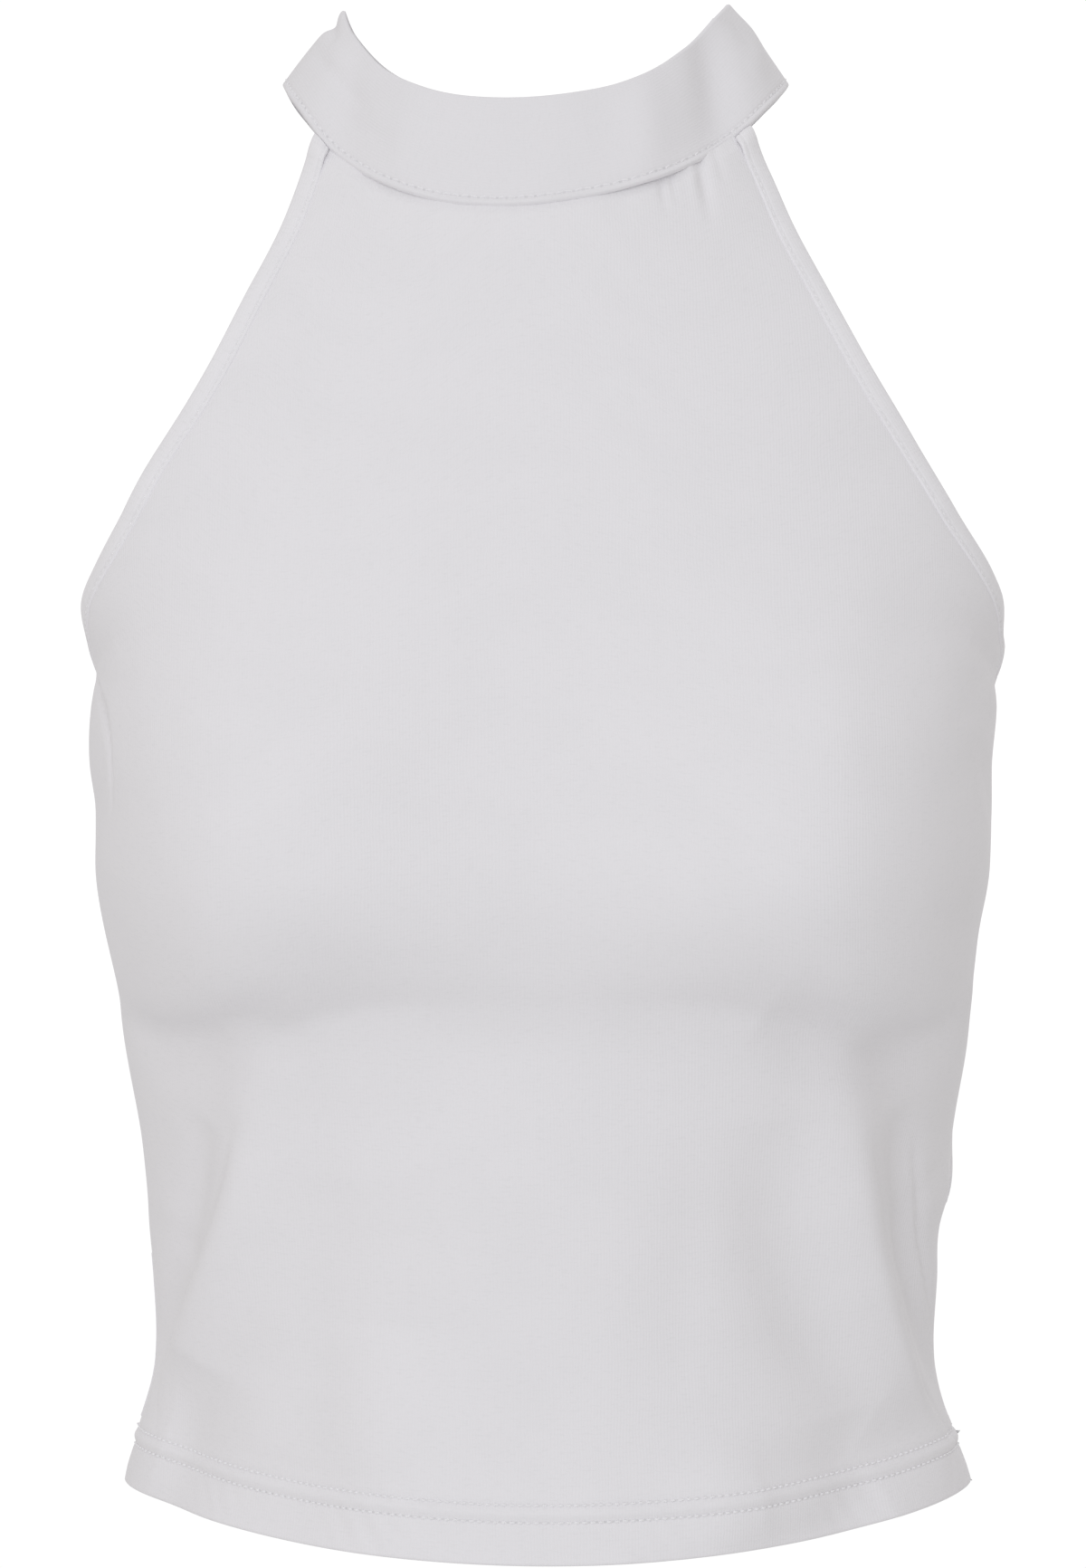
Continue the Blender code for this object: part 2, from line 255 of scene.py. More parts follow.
SIDE_SHIFTS = (
    SideShift(-456, -0.4, 0.3),
    SideShift(-450, -0.3, -0.3),
    SideShift(-441, 0.5, -1.6),
    SideShift(-432, -0.8, -1.0),
    SideShift(-414, -0.2, -1.2),
    SideShift(-388, -0.3, -0.3),
    SideShift(-370, -0.2, -0.8),
    SideShift(-361, 0.6, 1.0),
    SideShift(-344, 1.4, -0.2),
    SideShift(-310, 1.2, 0.0),
    SideShift(-291, 1.9, -0.9),
    SideShift(-273, 0.9, -1.9),
    SideShift(-256, 1.5, -1.5),
    SideShift(-243, 3.1, -2.2),
    SideShift(-235, 3.6, -2.4),
    SideShift(-221, 1.9, -2.9),
    SideShift(-203, 1.6, -0.7),
    SideShift(-193, 1.3, -1.3),
    SideShift(-185, 0.0, 1.3),
    SideShift(-173, -2.1, 3.3),
    SideShift(-160, -0.7, 1.9),
    SideShift(-147, -0.9, 1.3),
    SideShift(-131, -1.9, 1.4),
    SideShift(-110, -0.7, 1.3),
    SideShift(-60, -0.8, 1.2),
    SideShift(-30, -0.6, 0.6),
)

# Main folds, as the solids have them but for the two under the bust, which lie a little lower
FRONT_FOLDS = (
    Fold(-182, -297, -128, -326, -76, -296, 10, -5.0),
    Fold(66, -298, 118, -334, 184, -291, 11, -5.6),
    Fold(-90, -304, -94, -372, -170, -426, 15, 5.5),
    Fold(98, -300, 93, -378, 168, -440, 16, 6.5),
    Fold(-116, -334, -136, -384, -188, -412, 11, -5.0),
    Fold(124, -330, 140, -388, 190, -424, 12, -6.0),
    Fold(68, -332, 72, -386, 116, -430, 16, -3.5),
    Fold(-70, -350, -74, -394, -84, -436, 16, -2.0),
    Fold(-156, -438, -98, -452, -36, -454, 15, -4.5),
    Fold(66, -448, 112, -446, 164, -430, 13, -3.5),
)
BACK_FOLDS = (
    Fold(190, -196, 194, -212, 188, -232, 9, 6.0),
    Fold(-190, -334, -186, -354, -192, -372, 9, 5.0),
    Fold(-178, -300, -120, -318, -60, -308, 16, -3.5),
    Fold(64, -302, 118, -322, 180, -306, 15, -4.5),
    Fold(-70, -346, -104, -392, -172, -432, 16, 4.0),
    Fold(78, -340, 108, -390, 176, -424, 15, 4.5),
    Fold(-110, -352, -140, -388, -184, -408, 12, -3.0),
    Fold(116, -356, 146, -384, 184, -402, 12, -3.0),
    Fold(-30, -366, 0, -384, 34, -370, 18, -2.5),
    Fold(-60, -438, -20, -448, 40, -440, 14, -2.5),
)
# Finer creases and soft swells, uneven in length, depth and spacing
FRONT_CREASES = (
    Fold(-100, -330, -118, -385, -192, -419, 1.9, -1.5, left=0.8, right=2.6),
    Fold(-92, -326, -108, -384, -184, -428, 5.0, 0.9),
    Fold(110, -338, 123, -403, 193, -450, 1.9, -1.6, left=2.6, right=0.8),
    Fold(101, -330, 112, -402, 182, -452, 5.0, 1.0),
    Fold(139, -338, 150, -372, 193, -412, 1.8, -1.2, left=2.2, right=0.8),
    Fold(-194, -295, -134, -325, -84, -298, 3.6, -1.6, left=2.2, right=0.8),
    Fold(74, -299, 122, -331, 192, -287, 3.6, -1.8, left=2.2, right=0.8),
    Fold(24, -474, 66, -470, 118, -452, 9.0, -4.0),
    Fold(-50, -396, -52, -440, -46, -510, 22.0, 5.2),
    Fold(-138, -410, -146, -440, -140, -510, 22.0, -4.4),
    Fold(54, -424, 54, -460, 50, -510, 15.0, 2.2),
    Fold(102, -426, 106, -460, 100, -510, 16.0, -3.0),
    Fold(-182, -193, -140, -200, -152, -238, 1.4, -1.9, left=0.8, right=1.6),
    Fold(-198, -176, -178, -172, -146, -158, 7.0, 1.6),
    Fold(-198, -190, -176, -190, -150, -182, 4.0, -1.6),
    Fold(198, -176, 176, -170, 146, -160, 7.0, 1.8),
    Fold(198, -192, 174, -190, 148, -182, 4.5, -1.8),
    Fold(48, -330, 40, -380, 44, -424, 9.0, -0.7),
    Fold(20, -352, 24, -396, 14, -438, 10.0, 0.5),
    Fold(-36, -360, -46, -402, -40, -440, 10.0, -0.5),
    Fold(70, -240, 66, -216, 60, -180, 13.0, -0.6),
    Fold(84, -236, 90, -196, 84, -150, 12.0, 0.5),
    Fold(-120, -300, -96, -262, -92, -236, 10.0, 0.5),
    Fold(-60, -302, 0, -312, 64, -302, 12.0, -0.9),
    Fold(150, -214, 168, -226, 182, -244, 7.0, -0.9),
    Fold(128, -206, 150, -200, 176, -208, 6.0, -0.7),
    Fold(-182, -240, -166, -228, -150, -216, 7.0, -0.6),
    Fold(-176, -372, -150, -366, -134, -380, 5.0, -0.5),
    Fold(176, -352, 156, -350, 146, -362, 5.0, -0.6),
)
BACK_CREASES = (
    Fold(-92, -334, -120, -378, -168, -430, 3.6, -1.5, left=2.0),
    Fold(104, -330, 126, -380, 170, -428, 3.6, -1.6, right=2.0),
    Fold(-80, -326, -104, -368, -150, -412, 6.5, 1.1, right=0.6),
    Fold(90, -322, 112, -366, 154, -412, 6.5, 1.2, left=0.6),
    Fold(-172, -306, -124, -316, -74, -310, 5.0, -1.0, right=2.0),
    Fold(72, -306, 120, -318, 172, -308, 5.0, -1.1, left=2.0),
    Fold(-62, -330, -20, -342, 12, -334, 8.0, -0.9),
    Fold(-8, -352, 30, -358, 66, -346, 7.0, -0.8),
    Fold(26, -372, 22, -404, 30, -436, 9.0, -0.6),
    Fold(-44, -388, -40, -416, -50, -442, 9.0, 0.6),
    Fold(-176, -226, -150, -214, -120, -210, 7.0, -0.8),
    Fold(118, -212, 150, -216, 180, -230, 7.0, -0.8),
    Fold(-20, -210, -26, -160, -18, -110, 14.0, -0.7),
    Fold(30, -204, 34, -156, 26, -104, 14.0, 0.5),
)
FRONT_GATHERS = (
    Gather(42.0, 6.5, 1.6, -0.9),
    Gather(45.8, 5.0, 1.3, -0.75),
    Gather(57.5, 13.0, 2.3, -1.3),
    Gather(53.0, 9.0, 2.0, 0.5),
    Gather(64.5, 7.0, 1.8, -0.4),
    Gather(26.0, 9.0, 6.0, -0.5),
    Gather(-52.0, 8.0, 5.0, -0.45),
    Gather(-60.0, 6.0, 2.0, -0.35),
    Gather(-38.0, 7.0, 6.0, -0.25),
)
BACK_GATHERS = (
    Gather(-44.0, 7.0, 1.8, -0.5),
    Gather(-58.0, 9.0, 2.2, -0.55),
    Gather(50.0, 8.0, 2.0, -0.5),
    Gather(61.0, 6.0, 1.7, -0.4),
    Gather(14.0, 8.0, 6.0, -0.4),
)
HEM_RIPPLES = (
    RippleSpot(-118, 13, 0.3),
    RippleSpot(-53, 15, 1.0),
    RippleSpot(-16, 9, 0.25),
    RippleSpot(37, 12, 0.4),
    RippleSpot(104, 17, 0.3),
)
BAND_FOLDS = (
    BandFold(-106, 0.84, -74, 0.80, 2.8, -1.9),
    BandFold(74, 0.70, 106, 0.64, 6.0, 0.8),
    BandFold(-82, 0.52, -46, 0.60, 2.6, -0.7),
    BandFold(-76, 0.70, -50, 0.82, 3.2, 0.5),
    BandFold(-64, 0.28, -36, 0.44, 3.4, -0.5),
    BandFold(-29, -0.1, -39, 1.1, 8.0, 1.3),
    BandFold(-44, -0.1, -66, 1.1, 8.0, -1.7),
    BandFold(24, -0.1, 33, 1.1, 9.0, 2.3),
    BandFold(43, -0.1, 62, 1.1, 10.0, -4.4),
    BandFold(66, 0.36, 84, 0.54, 5.0, 0.8),
    BandFold(-20, 0.74, 18, 0.72, 1.8, -0.22),
    BandFold(-26, 0.50, 20, 0.53, 2.2, -0.2),
    BandFold(-16, 0.27, 26, 0.30, 2.0, -0.18),
    BandFold(118, 0.55, 158, 0.66, 7.0, -0.8),
    BandFold(176, 0.40, 214, 0.60, 8.0, -0.9),
    BandFold(228, 0.62, 250, 0.50, 5.0, 0.6),
)


def smooth_step(value: np.ndarray) -> np.ndarray:
    """0 below 0, 1 above 1, and the soft S of 3t^2 - 2t^3 between."""
    held = np.clip(value, 0.0, 1.0)
    return held * held * (3 - 2 * held)


def bell(distance: np.ndarray, width: float) -> np.ndarray:
    """1 at no distance, falling as e to the minus square of distance over width."""
    return np.exp(-((distance / width) ** 2))


def curve_through(keys: np.ndarray, column: np.ndarray, at: np.ndarray) -> np.ndarray:
    """Cubic curve through a table's column.

    Between two keys it is the Hermite cubic whose slopes are the mean slopes at the keys.

    Args:
        keys: Rising positions of the table's rows.
        column: The value of each row.
        at: Positions at which the curve is wanted.

    Returns:
        The curve's value at each position.
    """
    slopes = np.gradient(column, keys)
    index = np.clip(np.searchsorted(keys, at) - 1, 0, len(keys) - 2)
    step = keys[index + 1] - keys[index]
    part = (at - keys[index]) / step
    rest = 1 - part
    first = rest * rest * ((1 + 2 * part) * column[index] + part * step * slopes[index])
    second = part * part * ((3 - 2 * part) * column[index + 1] - rest * step * slopes[index + 1])
    return first + second


def ring_height(ring: Ring, angle: np.ndarray) -> np.ndarray:
    """Height of a neck ring at angles in radians: the periodic cubic through its stations."""
    table = np.array(NECK_STATIONS, dtype=float)
    keys = np.concatenate((table[-2:, 0] - 360, table[:, 0], table[:2, 0] + 360))
    heights = np.concatenate((table[-2:], table, table[:2]))[:, ring.column]
    return curve_through(keys, heights, (np.degrees(angle) + 180) % 360 - 180)


def ring_points(ring: Ring, angle: np.ndarray) -> np.ndarray:
    """Points of a neck ring: x is half width times sine, y minus half depth times cosine."""
    across = ring.half_width * np.sin(angle)
    deep = -ring.half_depth * np.cos(angle)
    return np.stack((across, deep, ring_height(ring, angle)), axis=-1)


def unit(vectors: np.ndarray) -> np.ndarray:
    """The vectors at length 1."""
    return vectors / np.linalg.norm(vectors, axis=-1, keepdims=True)


def grid_quads(index: np.ndarray, wrap: bool = False) -> np.ndarray:
    """Quads between neighbouring rows and columns of point numbers, round rows that wrap."""
    if wrap:
        index = np.concatenate((index, index[:, :1]), axis=1)
    corners = (index[:-1, :-1], index[:-1, 1:], index[1:, 1:], index[1:, :-1])
    return np.stack(corners, axis=-1).reshape(-1, 4)


def half_wall(from_edge: np.ndarray, half: np.ndarray | float) -> np.ndarray:
    """Half the cloth's thickness at a distance from an edge rounded to a radius of 'half'."""
    short = np.clip(1 - from_edge / half, 0, 1)
    return np.maximum(half * np.sqrt(np.clip(1 - short**2, 0, 1)), LEAST_HALF_WALL)


def run_along(points: np.ndarray, axis: int) -> np.ndarray:
    """Length along a grid's lines from their first point, summed from point to point."""
    steps = np.linalg.norm(np.diff(points, axis=axis), axis=-1)
    start = np.zeros_like(np.take(steps, [0], axis=axis))
    return np.concatenate((start, np.cumsum(steps, axis=axis)), axis=axis)


def resample(line: np.ndarray, values: np.ndarray, spacing: float) -> np.ndarray:
    """Values at even steps along a line of points.

    Args:
        line: The line's points.
        values: What to read along it, one row for each point.
        spacing: The step's length.

    Returns:
        The rows of values at half a step, one and a half steps and so on.
    """
    length = run_along(line, 0)
    count = max(2, int(length[-1] / spacing))
    at = (np.arange(count) + 0.5) * length[-1] / count
    return np.stack([np.interp(at, length, column) for column in values.T], axis=-1)


def lift_along(path: np.ndarray, where: np.ndarray, left: float, right: float) -> np.ndarray:
    """Height, from 0 to 1, of a fold along a path.

    It is a bell of the distance to the path, with a width for each side, times a power of the sine
    of pi times the share of the path that is behind the nearest point.

    Args:
        path: The path's points in the cloth's own two coordinates.
        where: A grid of places in the same coordinates.
        left: The bell's width to the left, looking along the path.
        right: The width to the right.

    Returns:
        The height at each place.
    """
    start, step = path[:-1], np.diff(path, axis=0)
    offset = where[..., None, :] - start
    part = np.clip((offset * step).sum(-1) / (step * step).sum(-1), 0, 1)
    away = offset - part[..., None] * step
    distance = np.linalg.norm(away, axis=-1)
    nearest = distance.argmin(axis=-1)
    index = nearest[..., None]
    near = np.take_along_axis(distance, index, -1)[..., 0]
    share = (nearest + np.take_along_axis(part, index, -1)[..., 0]) / len(step)
    turn = step[:, 0] * offset[..., 1] - step[:, 1] * offset[..., 0]
    side = np.take_along_axis(turn, index, -1)[..., 0]
    width = np.where(side > 0, left, right)
    return np.exp(-((near / width) ** 2)) * np.sin(math.pi * share) ** FOLD_END_POWER


def fold_lift(folds: tuple[Fold, ...], around: np.ndarray, height: np.ndarray) -> np.ndarray:
    """Sum of a panel's folds, each along the quadratic curve from start to end by its bend."""
    where = np.stack((around, height), axis=-1)
    total = np.zeros_like(height)
    along = np.linspace(0, 1, FOLD_STEPS)[:, None]
    for fold in folds:
        start = np.array((fold.start_around, fold.start_height))
        bend = np.array((fold.bend_around, fold.bend_height))
        end = np.array((fold.end_around, fold.end_height))
        path = (1 - along) ** 2 * start + 2 * along * (1 - along) * bend + along**2 * end
        widths = (fold.width * fold.left, fold.width * fold.right)
        total += fold.lift * lift_along(path, where, *widths)
    return total


@dataclass(frozen=True)
class Unevenness:
    """Slight hand-worn unevenness of cloth: a sum of slow sine waves across both coordinates."""

    wavelengths: tuple[float, ...] = (97.0, 61.0, 43.0, 29.0)
    height: float = 0.35

    def lift(self, first: np.ndarray, second: np.ndarray) -> np.ndarray:
        """Sum over the wavelengths of sin(a) times cos(b), higher for the longer ones.

        Args:
            first: One coordinate on the cloth.
            second: The other.

        Returns:
            The lift at each place.
        """
        total = np.zeros_like(first)
        for turn, wavelength in enumerate(self.wavelengths):
            slant = 0.7 + 1.1 * turn
            one = (first * math.cos(slant) + second * math.sin(slant)) * 2 * math.pi / wavelength
            two = (second * math.cos(slant) - first * math.sin(slant)) * 2 * math.pi / wavelength
            total += wavelength * np.sin(one + 1.9 * turn) * np.cos(0.6 * two + 2.3 * turn)
        return self.height * total / sum(self.wavelengths)


@dataclass
class ClothGrid:
    """Outer face of a piece of cloth: rows of points, their normals and its own coordinates."""

    points: np.ndarray
    normals: np.ndarray
    run: np.ndarray
    rise: np.ndarray
    wrap: bool = False

    def shell(self, thickness: np.ndarray) -> tuple[np.ndarray, np.ndarray, Faces]:
        """The closed shell of the cloth, with an inner face of every second row and column.

        The inner face lies the thickness inside the outer one. A strip of triangles joins the
        faces' edges, two steps of the outer edge to one of the inner.

        Args:
            thickness: The cloth's thickness at each outer point.

        Returns:
            The shell's points, its cloth map in millimetres, and its faces.
        """
        inner = (self.points - self.normals * thickness[..., None])[::2, ::2]
        rows, columns = self.points.shape[:2]
        outer_index = np.arange(rows * columns).reshape(rows, columns)
        inner_index = rows * columns + np.arange(inner.shape[0] * inner.shape[1])
        inner_index = inner_index.reshape(inner.shape[:2])
        points = np.concatenate((self.points.reshape(-1, 3), inner.reshape(-1, 3)))
        outer_map = np.stack((self.run, self.rise), axis=-1)
        cloth_map = np.concatenate((outer_map.reshape(-1, 2), outer_map[::2, ::2].reshape(-1, 2)))
        faces = grid_quads(outer_index, self.wrap).tolist()
        faces += grid_quads(inner_index, self.wrap)[:, ::-1].tolist()
        for outer_edge, inner_edge in self._edges(outer_index, inner_index):
            faces += self._rim(outer_edge, inner_edge)
        return points, cloth_map, faces

    def _edges(self, outer: np.ndarray, inner: np.ndarray) -> list[tuple[np.ndarray, np.ndarray]]:
        """Pairs of outer and inner edge loops, in the direction of the outer faces."""
        if self.wrap:
            foot = tuple(np.append(index[0], index[0, 0]) for index in (outer, inner))
            top = tuple(np.append(index[-1], index[-1, 0])[::-1] for index in (outer, inner))
            return [foot, top]
        loops = []
        for index in (outer, inner):
            sides = (index[0, :-1], index[:-1, -1], index[-1, :0:-1], index[:0:-1, 0])
            loop = np.concatenate(sides)
            loops.append(np.append(loop, loop[0]))
        return [(loops[0], loops[1])]

    @staticmethod
    def _rim(outer: np.ndarray, inner: np.ndarray) -> Faces:
        """Triangles from an outer loop to an inner one with half its steps."""
        first, middle, last = outer[:-1:2], outer[1::2], outer[2::2]
        here, there = inner[:-1], inner[1:]
        corners = ((middle, first, here), (middle, here, there), (last, middle, there))
        return [face for trio in corners for face in np.stack(trio, axis=-1).tolist()]


def enclosed_volume(points: np.ndarray, faces: Faces) -> float:
    """Volume inside a closed mesh: the sum of its triangles' pyramids to the origin."""
    triangles = [face[:3] for face in faces] + [[f[0], f[2], f[3]] for f in faces if len(f) == 4]
    a, b, c = (points[np.array(triangles)[:, corner]] for corner in range(3))
    return float((a * np.cross(b, c)).sum() / 6)


def make_piece(
    name: str,
    points: np.ndarray,
    faces: Faces,
    cloth_map: np.ndarray,
    material: bpy.types.Material,
) -> bpy.types.Object:
    """A smooth mesh object at the origin, its faces pointing outwards.

    Args:
        name: The piece's name.
        points: Its points in millimetres.
        faces: Its faces as point numbers.
        cloth_map: Run and rise of each point in millimetres.
        material: Its finish.

    Returns:
        The new object.
    """
    if enclosed_volume(points, faces) < 0:
        faces = [face[::-1] for face in faces]
    mesh = bpy.data.meshes.new(name)
    mesh.from_pydata((points * METRES).tolist(), [], faces)
    corner = np.zeros(len(mesh.loops), dtype=np.int32)
    mesh.loops.foreach_get("vertex_index", corner)
    layer = mesh.uv_layers.new(name=CLOTH_MAP)
    places = cloth_map * METRES + np.array((MIDDLE_OF_MAP, 0.0))
    layer.data.foreach_set("uv", places[corner].astype(np.float32).ravel())
    mesh.shade_smooth()
    mesh.set_sharp_from_angle(angle=math.radians(60))
    mesh.materials.append(material)
    piece = bpy.data.objects.new(name, mesh)
    bpy.context.scene.collection.objects.link(piece)
    return piece


class Socket:
    """A shader value that adds Math nodes when it is used in a sum or product."""

    def __init__(self, graph: ShaderGraph, output: bpy.types.NodeSocket) -> None:
        """Wrap an output of a node of the graph."""
        self.graph = graph
        self.output = output

    def __add__(self, other: Socket | float) -> Socket:
        """This value plus another."""
        return self.graph.maths("ADD", self, other)

    def __radd__(self, other: float) -> Socket:
        """A number plus this value."""
        return self.graph.maths("ADD", other, self)

    def __sub__(self, other: Socket | float) -> Socket:
        """This value minus another."""
        return self.graph.maths("SUBTRACT", self, other)

    def __rsub__(self, other: float) -> Socket:
        """A number minus this value."""
        return self.graph.maths("SUBTRACT", other, self)

    def __mul__(self, other: Socket | float) -> Socket:
        """This value times another."""
        return self.graph.maths("MULTIPLY", self, other)

    def __rmul__(self, other: float) -> Socket:
        """A number times this value."""
        return self.graph.maths("MULTIPLY", other, self)


class ShaderGraph:
    """Node tree of a material or a sky, with its first shader at hand."""

    def __init__(self, owner: bpy.types.Material | bpy.types.World, shader: str) -> None:
        """Turn on the nodes of a new material or sky and find its shader by name."""
        owner.use_nodes = True
        self.owner = owner
        self.tree = owner.node_tree
        self.shader = self.tree.nodes[shader]

    @classmethod
    def of_material(cls, name: str) -> ShaderGraph:
        """Graph of a new material."""
        return cls(bpy.data.materials.new(name), "Principled BSDF")

    def node(self, kind: str, settings: dict[str, object], **sockets: object) -> bpy.types.Node:
        """Add a node.

        Args:
            kind: The node's type.
            settings: Its own settings, made before its sockets are filled.
            **sockets: Values or links by socket name, with underscores for spaces.

        Returns:
            The node.
        """
        made = self.tree.nodes.new(kind)
        for setting, value in settings.items():
            setattr(made, setting, value)
        self.fill(made, **sockets)
        return made

    def fill(self, node: bpy.types.Node, **sockets: object) -> None:
        """Set or link a node's inputs by name, with underscores for spaces."""
        for label, value in sockets.items():
            self.feed(node.inputs[label.replace("_", " ")], value)

    def feed(self, target: bpy.types.NodeSocket, value: object) -> None:
        """Link a Socket to a node's input, or set the input to a plain value."""
        if isinstance(value, Socket):
            self.tree.links.new(value.output, target)
        else:
            target.default_value = value

    def maths(self, operation: str, *values: Socket | float) -> Socket:
        """The result of a Math node on the values."""
        made = self.node("ShaderNodeMath", {"operation": operation})
        for target, value in zip(made.inputs, values):
            self.feed(target, value)
        return Socket(self, made.outputs[0])

    def cloth_place(self) -> tuple[Socket, Socket]:
        """Run and rise on the cloth map in millimetres; the run is 0 at the middle."""
        mapped = self.node("ShaderNodeUVMap", {"uv_map": CLOTH_MAP})
        split = self.node("ShaderNodeSeparateXYZ", {}, Vector=Socket(self, mapped.outputs[0]))
        across, along = Socket(self, split.outputs[0]), Socket(self, split.outputs[1])
        return (across - MIDDLE_OF_MAP) * (1 / METRES), along * (1 / METRES)

    def bump(self, height: Socket, strength: float, distance_m: float) -> Socket:
        """Normal of a relief that is a distance high where its height is 1."""
        made = self.node(
            "ShaderNodeBump", {}, Strength=strength, Distance=distance_m, Height=height
        )
        return Socket(self, made.outputs[0])

    def blend(self, share: Socket, first: Socket | Colour, second: Socket | Colour) -> Socket:
        """Colour between two colours, by a share from 0 to 1."""
        made = self.node("ShaderNodeMix", {"data_type": "RGBA"})
        self.feed(made.inputs[0], share)
        self.feed(made.inputs[6], first)
        self.feed(made.inputs[7], second)
        return Socket(self, made.outputs[2])

    def speckle(
        self, place: tuple[Socket, Socket], grain: tuple[float, float], detail: float
    ) -> Socket:
        """Noise from about 0.3 to 0.7 over two coordinates, with grains of a given size."""
        first, second = (value * (1 / size) for value, size in zip(place, grain))
        both = self.node("ShaderNodeCombineXYZ", {}, X=first, Y=second)
        made = self.node(
            "ShaderNodeTexNoise",
            {"noise_dimensions": "2D"},
            Vector=Socket(self, both.outputs[0]),
            Scale=1.0,
            Detail=detail,
            Roughness=0.55,
        )
        return Socket(self, made.outputs[0])

    def mask(self, value: Socket, low: float, high: float) -> Socket:
        """0 where the value is below low, 1 above high, and a soft S between."""
        made = self.node(
            "ShaderNodeMapRange",
            {"interpolation_type": "SMOOTHSTEP"},
            Value=value,
            From_Min=low,
            From_Max=high,
        )
        return Socket(self, made.outputs[0])


@dataclass(frozen=True)
class NeedleRow:
    """Line of sunk needle holes at a rise on the cloth map, darkened with painted shade.

    The holes show where the cosine of the way along the row is high. 'dark' sets how far their
    colour is darkened towards the holes' painted shade colour, and 'grain' is the size of the
    patches in which that painted shade is darker or paler.
    """

    rise: float
    pitch: float
    width: float = 0.55
    dark: float = 0.7
    core_share: float = 0.25
    none_below: float = 0.1
    full_above: float = 0.9
    grain: tuple[float, float] = (7.0, 10.0)


@dataclass(frozen=True)
class Mottle:
    """Noise in cloth: its grain across and along the wales, its detail, and how it darkens."""

    grain: tuple[float, float]
    detail: float
    pale_below: float = 0.0
    dark_above: float = 1.0
    dark: float = 0.0
    height: float = 0.0


@dataclass(frozen=True)
class JerseyFinish:
    """Fine white cotton-stretch jersey: matt, with faint wales, short slubs, slight clouds and
    painted shade in its needle holes.
    """

    name: str
    colour: Colour = (0.84, 0.825, 0.85, 1.0)
    shade: Colour = (0.775, 0.765, 0.785, 1.0)
    # Colour of the painted shade in the needle holes
    painted_hole_shade: Colour = (0.52, 0.51, 0.53, 1.0)
    roughness: float = 0.88
    specular: float = 0.22
    sheen: float = 0.12
    sheen_roughness: float = 0.6
    wales: Wales = Wales.UPRIGHT
    wale_pitch: float = 1.0
    wale_height: float = 0.16
    wale_dark: float = 0.05
    wale_wander: float = 1.6
    wander: Mottle = Mottle((9.0, 26.0), 1.0)
    slubs: Mottle = Mottle((3.4, 0.8), 2.0, 0.52, 0.76, dark=0.3, height=0.5)
    clouds: Mottle = Mottle((34.0, 21.0), 3.0, 0.36, 0.68, dark=0.14, height=0.6)
    hole_depth: float = 0.8
    bump_strength: float = 0.5
    relief_m: float = 0.00022
    needle_rows: tuple[NeedleRow, ...] = ()

    def material(self) -> bpy.types.Material:
        """The finish as a material that reads the piece's cloth map."""
        graph = ShaderGraph.of_material(self.name)
        run, rise = graph.cloth_place()
        holes = self._needle_holes(graph, run, rise)
        if self.wales is Wales.ALONG:
            run, rise = rise, run
        wander = graph.speckle((run, rise), self.wander.grain, self.wander.detail)
        beat = (run + wander * self.wale_wander) * (2 * math.pi / self.wale_pitch)
        wave = graph.maths("SINE", beat)
        worn = wave * self.wale_dark + self.wale_dark
        relief = wave * self.wale_height - holes * self.hole_depth
        for mottle in (self.slubs, self.clouds):
            noise = graph.speckle((run, rise), mottle.grain, mottle.detail)
            worn = graph.mask(noise, mottle.pale_below, mottle.dark_above) * mottle.dark + worn
            relief = noise * mottle.height + relief
        cloth = graph.blend(graph.maths("MINIMUM", worn, 1.0), self.colour, self.shade)
        # The base colour is darkened towards the painted shade colour in the needle holes: painted
        # shade.
        graph.fill(
            graph.shader,
            Base_Color=graph.blend(holes, cloth, self.painted_hole_shade),
            Normal=graph.bump(relief, self.bump_strength, self.relief_m),
            Roughness=self.roughness,
            Specular_IOR_Level=self.specular,
            Sheen_Weight=self.sheen,
            Sheen_Roughness=self.sheen_roughness,
        )
        return graph.owner

    def _needle_holes(self, graph: ShaderGraph, run: Socket, rise: Socket) -> Socket | float:
        """Share of painted shade and sink in the needle holes of the stitch rows: above 0 there
        and 0 elsewhere.
        """
        total: Socket | float = 0.0
        for row in self.needle_rows:
            off = graph.maths("ABSOLUTE", rise - row.rise)
            beside = 1.0 - graph.mask(off, row.core_share * row.width, row.width)
            beat = graph.maths("COSINE", run * (2 * math.pi / row.pitch))
            uneven = graph.speckle((run, rise), row.grain, 1.0) * (2 * row.dark)
            total = beside * graph.mask(beat, row.none_below, row.full_above) * uneven + total
        return total


@dataclass(frozen=True)
class ThreadFinish:
    """White spun sewing thread, a touch smoother than the cloth, its twist as fine streaks."""

    name: str = "thread_white"
    colour: Colour = (0.92, 0.91, 0.93, 1.0)
    shade: Colour = (0.8, 0.79, 0.81, 1.0)
    roughness: float = 0.62
    sheen: float = 0.1
    twist_pitch: float = 0.7
    twist_slant: float = 2.0
    streak: float = 0.5
    streak_from: float = -0.4
    bump_strength: float = 0.3
    relief_m: float = 0.0001

    def material(self) -> bpy.types.Material:
        """The finish as a material that reads how far along its stitch each point lies."""
        graph = ShaderGraph.of_material(self.name)
        run, rise = graph.cloth_place()
        turn = (run * self.twist_slant + rise) * (2 * math.pi / self.twist_pitch)
        twist = graph.maths("SINE", turn)
        streak = graph.mask(twist, self.streak_from, 1.0) * self.streak
        graph.fill(
            graph.shader,
            Base_Color=graph.blend(streak, self.colour, self.shade),
            Normal=graph.bump(twist, self.bump_strength, self.relief_m),
            Roughness=self.roughness,
            Sheen_Weight=self.sheen,
        )
        return graph.owner


